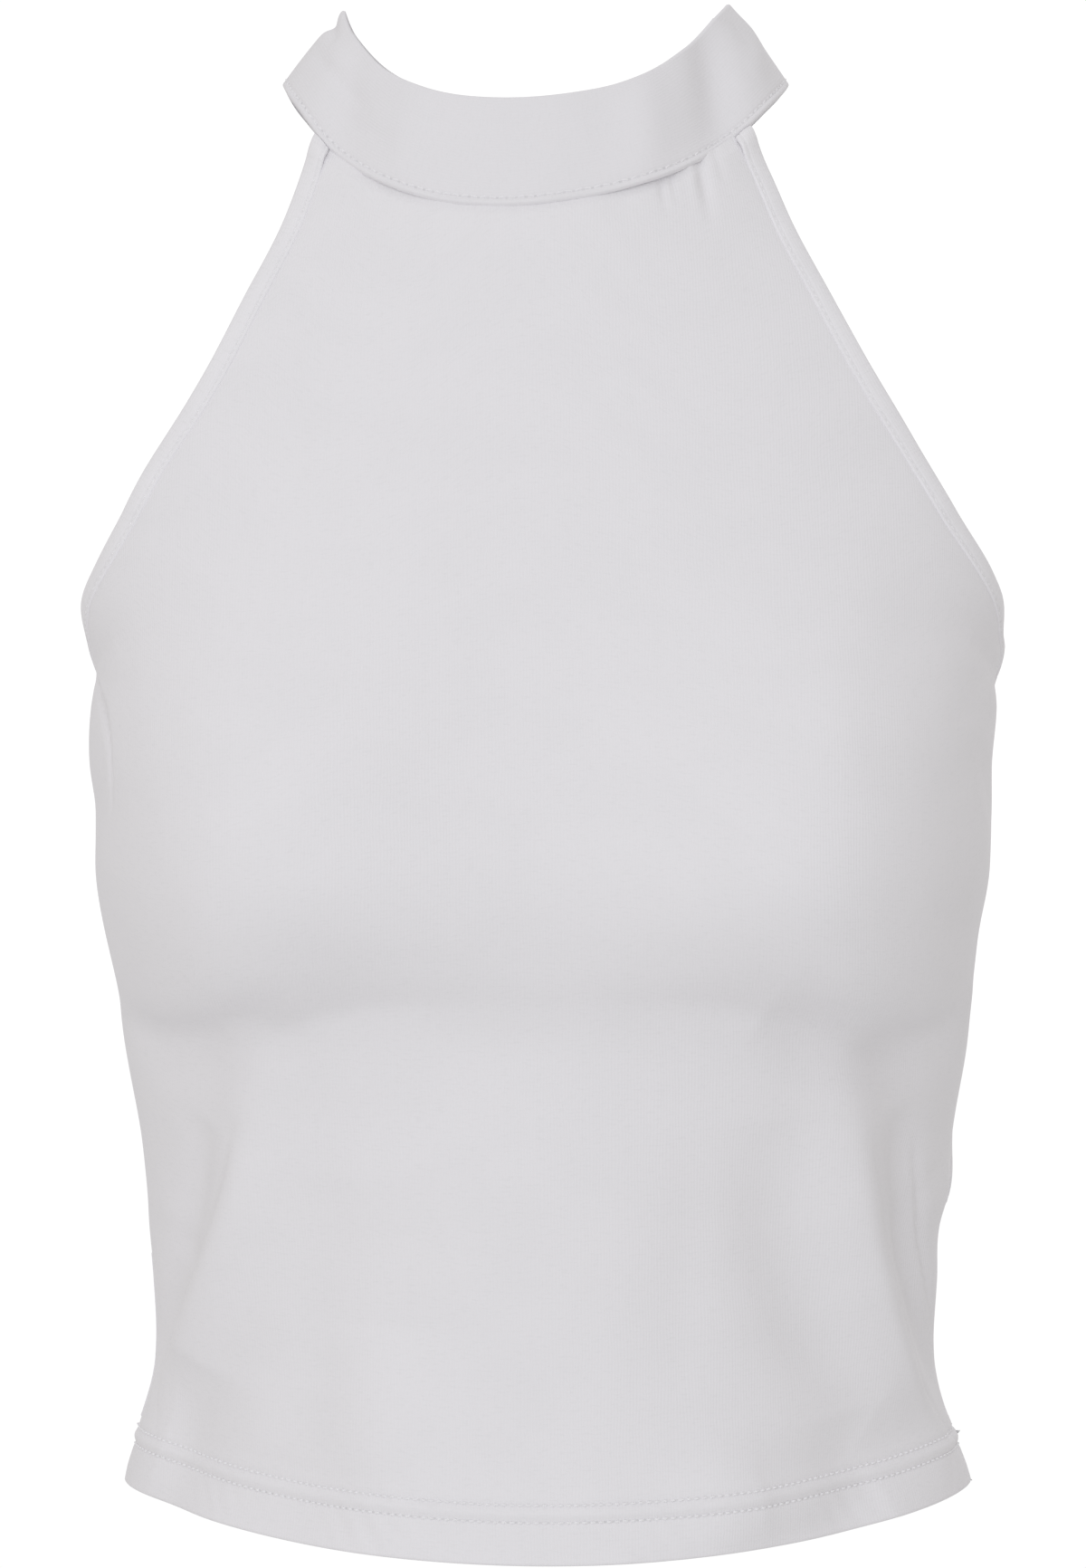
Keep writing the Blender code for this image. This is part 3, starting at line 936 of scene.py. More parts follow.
@dataclass
class StitchRow:
    """Row of thread stitches on cloth, each a small bar with its ends sunk in the needle holes."""

    pitch: float = 2.5
    length_share: float = 0.8
    radius: float = 0.27
    proud: float = 0.12
    slant: float = 0.0
    margin: int = 0
    taper: float = 0.85
    sides: int = 5
    stations: int = 5

    def bars(self, line: np.ndarray, normals: np.ndarray, run: np.ndarray) -> StitchParts:
        """Stitches along a line, each between two needle holes.

        A stitch is a tube of a few sides. Along it, with t from -1 to 1, the radius is the
        stitch's times the root of 1 - taper t^2, and the middle stands proud by 1 - 2 t^2 times
        'proud'. Neighbours slant opposite ways across the line where 'slant' isn't 0. The margin's
        stitches are left out at either end.

        Args:
            line: Points on the cloth's outer face.
            normals: The cloth's normals there.
            run: The cloth map's run there; the needle holes lie at its whole pitches.

        Returns:
            Points, faces and cloth map of all the stitches.
        """
        holes = np.arange(math.ceil(run[0] / self.pitch), math.floor(run[-1] / self.pitch) + 1)
        at = (holes[self.margin : len(holes) - 1 - self.margin] + 0.5) * self.pitch
        centre, up = (
            np.stack([np.interp(at, run, column) for column in values.T], axis=-1)
            for values in (line, normals)
        )
        up = unit(up)
        along = unit(np.gradient(centre, axis=0))
        beside = unit(np.cross(up, along))
        turn = self.slant * np.where(np.arange(len(centre)) % 2 == 0, 1.0, -1.0)[:, None]
        along, beside = along + turn * beside, beside - turn * along
        share = np.linspace(-1, 1, self.stations)[:, None]
        angle = np.linspace(0, 2 * math.pi, self.sides, endpoint=False)[None, :]
        radius = self.radius * np.sqrt(1 - self.taper * share**2)
        local_along = share * self.pitch * self.length_share / 2 + 0 * angle
        local_beside = radius * np.cos(angle)
        local_up = radius * np.sin(angle) + self.proud * (1 - 2 * share**2)
        axes = (along, beside, up)
        local = (local_along, local_beside, local_up)
        bars = centre[:, None, None] + sum(
            axis[:, None, None] * part[None, ..., None] for axis, part in zip(axes, local)
        )
        index = np.arange(self.stations * self.sides).reshape(self.stations, self.sides)
        starts = np.arange(len(centre))[:, None] * index.size
        faces = (starts[..., None] + grid_quads(index, wrap=True)).reshape(-1, 4).tolist()
        for cap in (index[0, ::-1], index[-1]):
            faces += (starts + cap).tolist()
        cloth_map = np.broadcast_to(
            np.stack((local_along, local_up), axis=-1), bars.shape[:-1] + (2,)
        )
        return StitchParts(bars.reshape(-1, 3), faces, cloth_map.reshape(-1, 2))


@dataclass
class StitchParts:
    """Points, faces and cloth map of stitches, ready to be joined into one piece."""

    points: np.ndarray
    faces: Faces
    cloth_map: np.ndarray

    @staticmethod
    def joined(parts: list[StitchParts]) -> StitchParts:
        """All the parts as one, their point numbers moved on."""
        faces: Faces = []
        start = 0
        for part in parts:
            faces += [[corner + start for corner in face] for face in part.faces]
            start += len(part.points)
        points = np.concatenate([part.points for part in parts])
        return StitchParts(points, faces, np.concatenate([part.cloth_map for part in parts]))


@dataclass
class Hem:
    """Turned-up hem: twin rows of stitches, a soft tunnel between and uneven ripples below."""

    depth: float = 19.0
    lower_row: float = 13.2
    upper_row: float = 18.5
    row_sink: float = 0.42
    row_width: float = 0.85
    tunnel: float = 0.75
    tunnel_width: float = 1.8
    swell: float = 0.3
    swell_fade: float = 6.0
    ripple: float = 0.42
    ripple_length: float = 8.5
    ripple_slant: float = 0.55
    ripple_sway: float = 1.3
    ripple_sway_length: float = 19.0
    ripple_rise: float = 7.5
    ripple_reach: float = 8.0
    ripples: tuple[RippleSpot, ...] = HEM_RIPPLES
    pitch: float = 2.5

    def relief(self, run: np.ndarray, rise: np.ndarray) -> np.ndarray:
        """Lift of the cloth near the hem.

        Bells sink the cloth along both rows and raise it between them. The double cloth swells a
        little. Slanting sine ripples cross the hem at some spots and fade above the rows.

        Args:
            run: Distance along the hem from the panel's middle.
            rise: Distance above the hem's fold.

        Returns:
            The lift at each place.
        """
        rows = sum(bell(rise - row, self.row_width) for row in (self.lower_row, self.upper_row))
        middle = (self.lower_row + self.upper_row) / 2
        ridge = bell(rise - middle, self.tunnel_width) * self.tunnel
        swell = self.swell * (1 - smooth_step((rise - self.upper_row) / self.swell_fade))
        slant = (run + self.ripple_slant * rise) * 2 * math.pi / self.ripple_length
        sway = self.ripple_sway * np.sin(run / self.ripple_sway_length)
        strength = sum(spot.share * bell(run - spot.run, spot.width) for spot in self.ripples)
        ripples = self.ripple * np.sin(slant + sway) * strength
        near = bell(rise - self.ripple_rise, self.ripple_reach)
        return ridge + swell - self.row_sink * rows + ripples * near

    def outward(self, rise: np.ndarray, thickness: np.ndarray) -> np.ndarray:
        """How far the outer face draws in towards the cloth's middle at the rounded fold."""
        return thickness / 2 - half_wall(rise, thickness / 2)

    def wall(self, rise: np.ndarray, thickness: np.ndarray) -> np.ndarray:
        """Thickness of the cloth, rounded off at the fold."""
        return 2 * half_wall(rise, thickness / 2)


@dataclass
class Panel:
    """Front or back of the top: one piece of jersey from the neck seam to the hem.

    Its sections are parts of ovals, as the solid's are. Folds, creases, gathers below the neck
    seam, the hem's stitched relief and ditches along its seams are laid over that form.
    """

    name: str
    facing: Facing
    sections: tuple[Section, ...]
    folds: tuple[Fold, ...]
    creases: tuple[Fold, ...]
    gathers: tuple[Gather, ...]
    flat: tuple[float, float]
    flat_area: float
    unevenness: Unevenness = field(default_factory=Unevenness)
    hem: Hem = field(default_factory=Hem)
    columns: int = 275
    edge_crowding: float = 0.7
    hem_reach: float = 24.0
    hem_rows: int = 30
    body_rows: int = 128
    chest_rows: int = 104
    arm_crowding: float = 1.5
    cloth: float = 0.8
    double_cloth: float = 1.7
    cloth_step: float = 2.0
    fold_fade: int = 8
    crease_fade: int = 12
    turn_fade: int = 24
    bust_power: float = 0.7
    body_power: float = 1.12
    bust_power_from: float = -345.0
    chest_power_from: float = -205.0
    power_blend: float = 60.0
    bust_out: float = 26.0
    bust_height: float = -249.0
    bust_side: float = 98.0
    bust_width: float = 60.0
    bust_side_fade: int = 12
    bust_rise: float = 78.0
    bust_fall: float = 61.0
    bust_fall_power: float = 2.6
    bust_corner: float = 0.12
    bust_smile: float = 15.0
    bust_lowest: float = 102.0
    bust_inner_width: float = 28.0
    bust_outer_width: float = 44.0
    seam_sink: float = 0.5
    armhole_sink: float = 0.15
    seam_width: float = 1.5
    seam_allowance: float = 1.6
    neck_tuck: float = 1.15
    neck_tuck_at_ends: float = 0.8
    neck_tuck_drop: float = 1.9

    def outer_face(self) -> tuple[ClothGrid, np.ndarray]:
        """The panel's outer face, its folds and reliefs laid along the normals of its form.

        Returns:
            The grid and a mask of the rows that lie along the side seam.
        """
        points, folds, side_seam = self._form()
        facing, across = self.facing.value, self._across()[None, :]
        points = points + self._normals(points, side_seam) * folds[..., None]
        for column in (0, -1):
            points[side_seam, column, 1] = facing * SEAM_GAP / 2
        points[-1, :, 2] -= SEAM_GAP
        rise, run = run_along(points, 0), run_along(points, 1)
        from_left, from_right = run, run[:, -1:] - run
        run = run - run[:, self.columns // 2][:, None]
        from_top = rise[-1:] - rise
        seam_sink = np.where(side_seam, self.seam_sink, self.armhole_sink)[:, None]
        sunk = seam_sink * (bell(from_left, self.seam_width) + bell(from_right, self.seam_width))
        tucked = self.neck_tuck + self.neck_tuck_at_ends * across**4
        tucked = tucked * bell(from_top, self.neck_tuck_drop) + self._gathered(run, from_top)
        drawn_in = self.hem.outward(rise, self._thickness(rise))
        relief = self.hem.relief(run, rise) - drawn_in - sunk - tucked
        points = points + self._normals(points, side_seam) * relief[..., None]
        normals = self._normals(points, side_seam)
        points[-1, :, 2] += self.seam_allowance
        return ClothGrid(points, normals, run, rise), side_seam

    def _form(self) -> tuple[np.ndarray, np.ndarray, np.ndarray]:
        """The panel's smooth form and the lift of its folds.

        Along a row, x runs as the sine and y as a power of the cosine of the angle from the
        middle, up to the angle at which the oval has the edge's depth. Towards the neck the row's
        height takes up the curve of the band's foot.

        Returns:
            The form's points, the lift at each, and a mask of the rows along the side seam.
        """
        facing = self.facing.value
        middle_angle = 0.0 if self.facing is Facing.FRONT else math.pi
        rows = self.sections + (self._neck_section(middle_angle),)
        table = np.array(rows, dtype=float)
        stations = self._stations(rows)
        mid_z, edge_z, half_width, edge_y, mid_y = (
            curve_through(table[:, 0], column, stations)[:, None] for column in table.T
        )
        side_seam = stations <= rows[ARM_ROW].mid_z + 1e-9
        edge_y = np.where(side_seam[:, None], 0.0, edge_y)
        across = self._across()[None, :]
        power = self._oval_power(mid_z)
        reach = np.arccos((edge_y / mid_y) ** (1 / power))
        angle = across * reach
        from_middle = half_width * np.sin(angle) / np.sin(reach)
        depth = mid_y * np.clip(np.cos(angle), 0, 1) ** power
        level = mid_z + (edge_z - mid_z) * (from_middle / half_width) ** 2
        blend = smooth_step((stations[:, None] - (rows[-1].mid_z - NECK_BLEND)) / NECK_BLEND)
        turned = NECK_TURN * np.clip(across, 0, 1) ** 3 * (self.facing is Facing.FRONT)
        on_ring = ring_height(BAND_FOOT, middle_angle + across * NECK_SEAM_SPAN + turned)
        neck = rows[-1]
        plain = neck.mid_z + (neck.edge_z - neck.mid_z) * (from_middle / half_width) ** 2
        level = level + blend * (on_ring - plain)
        if self.facing is Facing.FRONT:
            depth = depth + self._bust_swell(from_middle, level, angle)
        lean = LEAN * (level / HEM_HEIGHT) * (1 - blend)
        lean = lean + NIP * bell(level - NIP_HEIGHT, NIP_RISE) * across**NIP_POWER
        lean = lean + self._side_shift(-facing * across, level) * (1 - blend)
        points = np.stack((lean - facing * from_middle, facing * depth, level), axis=-1)
        points = self._turned_on_ring(points, turned * blend**self.turn_fade)
        around = angle / (math.pi / 2) * HALF_GIRTH
        main = fold_lift(self.folds, around, level) * (1 - across**self.fold_fade) * (1 - blend)
        fine = fold_lift(self.creases, around, level) + self.unevenness.lift(around, level)
        return points, main + fine * (1 - across**self.crease_fade), side_seam

    def build(self, finish: JerseyFinish) -> tuple[bpy.types.Object, ClothGrid, np.ndarray]:
        """Make the panel's shell.

        Args:
            finish: The jersey it is cut from.

        Returns:
            The piece, its outer face and the mask of its side seam's rows.
        """
        grid, side_seam = self.outer_face()
        wall = self.hem.wall(grid.rise, self._thickness(grid.rise))
        points, cloth_map, faces = grid.shell(wall)
        piece = make_piece(f"{self.name}_jersey", points, faces, cloth_map, finish.material())
        LOG.info("%s: %d faces", piece.name, len(faces))
        return piece, grid, side_seam

    def hem_stitches(self, grid: ClothGrid) -> list[StitchParts]:
        """The twin rows of the hem, each along the line at its rise above the fold."""
        stitches = StitchRow(pitch=self.hem.pitch, radius=0.36, proud=0.25, margin=1)
        rows = (self.hem.lower_row, self.hem.upper_row)
        return [stitches.bars(*self._line_at_rise(grid, row)) for row in rows]

    def _line_at_rise(self, grid: ClothGrid, rise: float) -> tuple[np.ndarray, ...]:
        """Points, normals and run at a rise above the hem, read between rows in every column."""
        upper = np.argmax(grid.rise > rise, axis=0)
        column = np.arange(grid.rise.shape[1])
        low, high = grid.rise[upper - 1, column], grid.rise[upper, column]
        part = ((rise - low) / (high - low))[:, None]
        lines = []
        for values in (grid.points, grid.normals, grid.run[..., None]):
            lines.append(values[upper - 1, column] * (1 - part) + values[upper, column] * part)
        return lines[0], unit(lines[1]), lines[2][:, 0]

    def _neck_section(self, middle_angle: float) -> Section:
        """The last section, which lies on the band's foot."""
        span = NECK_SEAM_SPAN
        edges = ring_height(BAND_FOOT, middle_angle + np.array((-span, span)))
        return Section(
            float(ring_height(BAND_FOOT, np.array(middle_angle))),
            float(edges.mean()),
            BAND_FOOT.half_width * math.sin(span),
            BAND_FOOT.half_depth * math.cos(span),
            BAND_FOOT.half_depth,
        )

    def _stations(self, rows: tuple[Section, ...]) -> np.ndarray:
        """Heights of the rows at the middle: close at the hem's fold and above the underarm."""
        hem, arm, neck = rows[0].mid_z, rows[ARM_ROW].mid_z, rows[-1].mid_z
        fold = hem + np.array((0.0, 0.1, 0.3, 0.65, 1.1))
        turned = np.linspace(hem + 1.8, hem + self.hem_reach, self.hem_rows)
        body = np.linspace(hem + self.hem_reach, arm, self.body_rows + 1)[1:]
        share = np.linspace(0, 1, self.chest_rows + 1)[1:]
        chest = arm + (neck - arm) * share**self.arm_crowding
        close = neck - np.array((2.2, 1.1))
        return np.sort(np.concatenate((fold, turned, body, chest, close)))

    def _across(self) -> np.ndarray:
        """Places of the columns from -1 to 1, closer together towards the edges."""
        even = np.linspace(-1, 1, self.columns)
        crowd = self.edge_crowding
        return (1 - crowd) * even + crowd * np.sin(math.pi * even / 2)

    def _bust_swell(
        self, from_middle: np.ndarray, height: np.ndarray, angle: np.ndarray
    ) -> np.ndarray:
        """How far the front stands out over the bust.

        Two bells side by side fade upward as a bell and downward as 1 minus a power of the share
        of the fall, so that the swell turns in at a soft corner: half the sum of that and its
        length together with the corner's softness, scaled to 1 at the crown. The fall is longest
        under each swell and shorter to both sides, by a bell across.

        Args:
            from_middle: Distance across from the middle.
            height: Height of each point.
            angle: Angle round the section from the middle.

        Returns:
            The swell at each point.
        """
        drop = height - self.bust_height
        past_lowest = np.abs(from_middle) - self.bust_lowest
        width = np.where(past_lowest > 0, self.bust_outer_width, self.bust_inner_width)
        smile = bell(past_lowest, width)
        fall = self.bust_fall - self.bust_smile * (1 - smile)
        left_over = 1 - (np.clip(-drop, 0, None) / fall) ** self.bust_fall_power
        corner = self.bust_corner
        under = (left_over + np.hypot(left_over, corner)) / (1 + math.hypot(1, corner))
        fade = np.where(drop > 0, bell(drop, self.bust_rise), under)
        left = bell(from_middle + self.bust_side, self.bust_width)
        right = bell(from_middle - self.bust_side, self.bust_width)
        beside = 1 - (angle / (math.pi / 2)) ** self.bust_side_fade
        return self.bust_out * (left + right) * fade * beside

    def _oval_power(self, height: np.ndarray) -> np.ndarray:
        """Power of the cosine that gives a section's depth: the back's sections are ellipses."""
        if self.facing is Facing.BACK:
            return np.ones_like(height)
        bust = smooth_step((height - self.bust_power_from) / self.power_blend)
        chest = smooth_step((height - self.chest_power_from) / self.power_blend)
        power = self.body_power + (self.bust_power - self.body_power) * bust
        return power + (1 - self.bust_power) * chest

    @staticmethod
    def _turned_on_ring(points: np.ndarray, angle: np.ndarray) -> np.ndarray:
        """Points turned by an angle along the band's foot, as if its oval were a circle."""
        wide, deep = BAND_FOOT.half_width, BAND_FOOT.half_depth
        across, out = points[..., 0] / wide, points[..., 1] / deep
        sine, cosine = np.sin(angle), np.cos(angle)
        turned_across = wide * (across * cosine - out * sine)
        turned_out = deep * (out * cosine + across * sine)
        return np.stack((turned_across, turned_out, points[..., 2]), axis=-1)

    @staticmethod
    def _side_shift(to_right: np.ndarray, height: np.ndarray) -> np.ndarray:
        """Shift at a height, growing as the cube of the share of the way to either side."""
        table = np.array(SIDE_SHIFTS, dtype=float)
        held = np.clip(height, table[0, 0], table[-1, 0])
        left, right = (curve_through(table[:, 0], column, held) for column in table.T[1:])
        return np.where(to_right > 0, right, left) * np.abs(to_right) ** 3

    def _gathered(self, run: np.ndarray, from_top: np.ndarray) -> np.ndarray:
        """Sink of the gathers: a bell across each, deepest at half its drop below the seam."""
        total = np.zeros_like(run)
        for gather in self.gathers:
            below = bell(from_top - gather.drop / 2, 0.65 * gather.drop)
            total -= gather.lift * bell(run - gather.run, gather.width) * below
        return total

    def _thickness(self, rise: np.ndarray) -> np.ndarray:
        """One layer of cloth, doubled over the turned-up hem."""
        thin = smooth_step((rise - self.hem.depth) / self.cloth_step)
        return self.double_cloth + (self.cloth - self.double_cloth) * thin

    @staticmethod
    def _normals(points: np.ndarray, side_seam: np.ndarray) -> np.ndarray:
        """Normals across rows and columns; at a side seam they point straight out to the side."""
        normals = np.cross(np.gradient(points, axis=1), np.gradient(points, axis=0))
        for column in (0, -1):
            normals[side_seam, column, 1] = 0.0
        return unit(normals)


@dataclass
class NeckBand:
    """The wide turtleneck band: a strip folded double, sewn to the panels and topstitched."""

    name: str = "neck_band"
    folds: tuple[BandFold, ...] = BAND_FOLDS
    flat: tuple[float, float] = (0.425, 0.037)
    around: int = 540
    rows: int = 49
    edge_crowding: float = 0.085
    wall: float = 2.0
    stitch_rise: float = 2.5
    stitch_sink: float = 0.35
    stitch_width: float = 0.7
    lip: float = 0.3
    lip_rise: float = 1.2
    lip_width: float = 0.8
    corner_span: float = 9.0
    pitch: float = 2.7
    mean_radius: float = 73.0
    mean_height: float = 34.0

    def outer_face(self) -> ClothGrid:
        """The band's outer face: straight from foot to top, with a sine crown, folds and a lip.

        The lip and the stitches' ditch fade out at the band's two side corners.
        """
        angle = np.linspace(-math.pi, math.pi, self.around, endpoint=False)[None, :]
        share = np.linspace(0, 1, self.rows)
        up = (share - self.edge_crowding * np.sin(2 * math.pi * share))[:, None]
        foot = ring_points(BAND_FOOT, angle)
        top = ring_points(BAND_TOP, angle)
        away = np.concatenate((np.sin(angle), -np.cos(angle), 0 * angle)).T[None]
        crown = BAND_CROWN * np.sin(math.pi * up)[..., None]
        points = foot * (1 - up[..., None]) + top * up[..., None] + away * crown
        normals = self._normals(points)
        degrees = np.degrees(angle) + 0 * up
        points = points + normals * self._fold_lift(degrees, up + 0 * angle)[..., None]
        rise = run_along(points, 0)
        run = np.radians(degrees) * self.mean_radius
        half = self.wall / 2
        drawn = 2 * half - half_wall(rise, half) - half_wall(rise[-1:] - rise, half)
        relief = self.lip * bell(rise - self.lip_rise, self.lip_width)
        relief = relief - self.stitch_sink * bell(rise - self.stitch_rise, self.stitch_width)
        relief = relief * (1 - bell(np.abs(degrees) - 90, self.corner_span))
        points = points + self._normals(points) * (relief - drawn)[..., None]
        return ClothGrid(points, self._normals(points), run, rise, wrap=True)

    def build(self, finish: JerseyFinish) -> tuple[bpy.types.Object, ClothGrid]:
        """Make the band.

        Args:
            finish: The jersey it is cut from.

        Returns:
            The piece and its outer face.
        """
        grid = self.outer_face()
        from_edge = np.minimum(grid.rise, grid.rise[-1:] - grid.rise)
        wall = 2 * half_wall(from_edge, self.wall / 2)
        points, cloth_map, faces = grid.shell(wall)
        piece = make_piece(f"{self.name}_jersey", points, faces, cloth_map, finish.material())
        LOG.info("%s: %d faces", piece.name, len(faces))
        return piece, grid

    def stitches(self, grid: ClothGrid) -> StitchParts:
        """The topstitching just above the band's foot, its stitches slanting by turns."""
        row = int(np.argmin(np.abs(grid.rise[:, 0] - self.stitch_rise)))
        line = np.concatenate((grid.points[row], grid.points[row, :1]))
        normals = np.concatenate((grid.normals[row], grid.normals[row, :1]))
        run = np.append(grid.run[row], grid.run[row, 0] + 2 * math.pi * self.mean_radius)
        row_shape = StitchRow(pitch=self.pitch, slant=0.22, length_share=0.86, proud=0.05)
        return row_shape.bars(line, normals, run)

    def _fold_lift(self, degrees: np.ndarray, up: np.ndarray) -> np.ndarray:
        """Sum of the band's folds, each along a straight path that may pass the centre back."""
        scale = np.array((math.radians(self.mean_radius), self.mean_height))
        total = np.zeros_like(up)
        for turn in (0, 360):
            where = np.stack((degrees + turn, up), axis=-1) * scale
            for fold in self.folds:
                start = (fold.start_degrees, fold.start_up)
                end = (fold.end_degrees, fold.end_up)
                path = np.linspace(start, end, BAND_FOLD_STEPS) * scale
                total += fold.lift * lift_along(path, where, fold.width, fold.width)
        return total

    @staticmethod
    def _normals(points: np.ndarray) -> np.ndarray:
        """Normals of the closed ring of columns."""
        wide = np.concatenate((points[:, -1:], points, points[:, :1]), axis=1)
        around = np.gradient(wide, axis=1)[:, 1:-1]
        return unit(np.cross(around, np.gradient(points, axis=0)))


@dataclass
class ArmholeBinding:
    """Narrow folded strip round an armhole, stitched beside the panels' edge.

    Its cross-section is a rounded flat strip, carried along the edge from the front neck seam
    under the arm to the back neck seam.
    """

    side: ArmSide
    width: float = 7.2
    lap: float = 0.5
    wall: float = 1.9
    face: float = 0.3
    rim: float = 0.35
    squareness: float = 7.0
    roundness: float = 2.4
    crown: float = 0.35
    proud: float = 0.3
    end_blend: float = 14.0
    tuck: float = 1.5
    tuck_length: float = 3.6
    seam_allowance: float = 1.2
    stitch_in: float = 1.3
    stitch_sink: float = 0.32
    stitch_width: float = 0.45
    stitch_depth: float = 0.05
    stitch_from: float = 4.0
    pitch: float = 2.6
    spacing: float = 1.3
    profile_steps: int = 28

    @property
    def name(self) -> str:
        """The name of the binding's solid."""
        return f"armhole_binding_{self.side.name.lower()}"

    def edge(self, front: PanelBuild, back: PanelBuild) -> tuple[np.ndarray, np.ndarray]:
        """Points and normals of the joined armhole edge, evenly spaced."""
        right = self.side is ArmSide.RIGHT
        halves = []
        ends = (front.side_seam.sum() - 1, back.side_seam.sum() - 1)
        for values in ("points", "normals"):
            first = getattr(front.grid, values)[ends[0] :, -1 if right else 0][::-1]
            second = getattr(back.grid, values)[ends[1] :, 0 if right else -1]
            underarm = (first[-1:] + second[:1]) / 2
            halves.append(np.concatenate((first[:-1], underarm, second[1:])))
        line, normals = halves
        both = resample(line, np.concatenate((line, normals), axis=1), self.spacing)
        both[0], both[-1] = (
            np.concatenate((line[0], normals[0])),
            np.concatenate((line[-1], normals[-1])),
        )
        return both[:, :3], unit(self._softened(both[:, 3:], 3))

    def build(self, front: PanelBuild, back: PanelBuild, finish: JerseyFinish) -> BindingBuild:
        """Make the binding.

        Args:
            front: The front panel.
            back: The back panel.
            finish: The jersey it is cut from.

        Returns:
            The piece with the line of its stitches.
        """
        edge, normals = self.edge(front, back)
        edge = edge + normals * self.proud
        along = np.gradient(edge, axis=0)
        outward = unit(self.side.value * np.cross(normals, along))
        across, out = self._profile()
        place = edge[:, None] + outward[:, None] * (across - self.lap)[None, :, None]
        turn = self.side.value * (NECK_SEAM_SPAN + (across - self.lap) / BINDING_REACH)
        share = np.minimum(run_along(edge, 0), run_along(edge[::-1], 0)[::-1])
        near = (1 - smooth_step(share / self.end_blend))[:, None, None]
        half = len(edge) // 2
        lifted = np.array((0, 0, self.seam_allowance))
        front_turn = turn + NECK_TURN * (self.side is ArmSide.RIGHT)
        front_end = ring_points(BAND_FOOT, front_turn) + lifted
        back_end = ring_points(BAND_FOOT, math.pi - turn) + lifted
        place[:half] += near[:half] * (front_end - place[0])[None]
        place[half:] += near[half:] * (back_end - place[-1])[None]
        tucked = self.tuck * (1 - smooth_step(share / self.tuck_length))[:, None, None]
        points = place + normals[:, None] * (out[None, :, None] - tucked)
        stations, size = points.shape[:2]
        index = np.arange(stations * size).reshape(stations, size)
        faces = grid_quads(index, wrap=True).tolist()
        centres = points.mean(axis=1)[[0, -1]]
        for end, row in enumerate((index[0, ::-1], index[-1])):
            loop = row.tolist()
            faces += [[a, b, index.size + end] for a, b in zip(loop, loop[1:] + loop[:1])]
        run = run_along(edge, 0)[:, None] + 0 * across[None, :]
        cloth_map = np.stack((run - run.max() / 2, across[None, :] + 0 * run), axis=-1)
        cloth_map = np.concatenate((cloth_map.reshape(-1, 2), cloth_map[[0, -1], 0]))
        points = np.concatenate((points.reshape(-1, 3), centres))
        piece = make_piece(f"{self.name}_jersey", points, faces, cloth_map, finish.material())
        LOG.info("%s: %d faces", piece.name, len(faces))
        top = self._height(np.array(self.stitch_in))
        sewn = edge + outward * (self.stitch_in - self.lap) + normals * (top - self.stitch_depth)
        inside = share > self.stitch_from
        middle_run = run[:, 0] - run.max() / 2
        return BindingBuild(self.name, piece, sewn[inside], normals[inside], middle_run[inside])

    def stitches(self, built: BindingBuild) -> StitchParts:
        """The row of stitches along the binding's inner edge."""
        return StitchRow(pitch=self.pitch, radius=0.24).bars(built.sewn, built.normals, built.run)

    def _height(self, across: np.ndarray) -> np.ndarray:
        """Height of the outer face over the cloth: rounded sides, a crown and the stitch row."""
        rounded = self._rounded(across)
        lift = self.face + self.crown * np.sin(math.pi * np.clip(across / self.width, 0, 1))
        lift = lift - self.stitch_sink * bell(across - self.stitch_in, self.stitch_width)
        return lift * rounded - self.rim * (1 - rounded)

    def _rounded(self, across: np.ndarray) -> np.ndarray:
        """0 at the strip's sides and 1 in its middle, with square shoulders."""
        share = np.clip(across / self.width, 0, 1)
        return (1 - np.abs(2 * share - 1) ** self.squareness) ** (1 / self.roundness)

    def _profile(self) -> tuple[np.ndarray, np.ndarray]:
        """Cross-section: places across the strip and heights, out along its face and back."""
        half = self.profile_steps // 2
        angle = np.linspace(0, math.pi, half + 1)
        across = self.width * (1 - np.cos(angle)) / 2
        under = across[::-1][1:-1]
        lower = -self.rim - (self.wall - self.face - self.rim) * self._rounded(under)
        return np.concatenate((across, under)), np.concatenate((self._height(across), lower))

    @staticmethod
    def _softened(values: np.ndarray, times: int) -> np.ndarray:
        """Values averaged with their neighbours a few times."""
        for _ in range(times):
            wide = np.concatenate((values[:1], values, values[-1:]))
            values = (wide[:-2] + 2 * wide[1:-1] + wide[2:]) / 4
        return values


@dataclass
class PanelBuild:
    """A panel once it is made: its piece, outer face and the mask of its side seam's rows."""

    panel: Panel
    piece: bpy.types.Object
    grid: ClothGrid
    side_seam: np.ndarray


@dataclass
class BindingBuild:
    """A binding once it is made: its solid, its piece and the line on which it is stitched."""

    solid: str
    piece: bpy.types.Object
    sewn: np.ndarray
    normals: np.ndarray
    run: np.ndarray


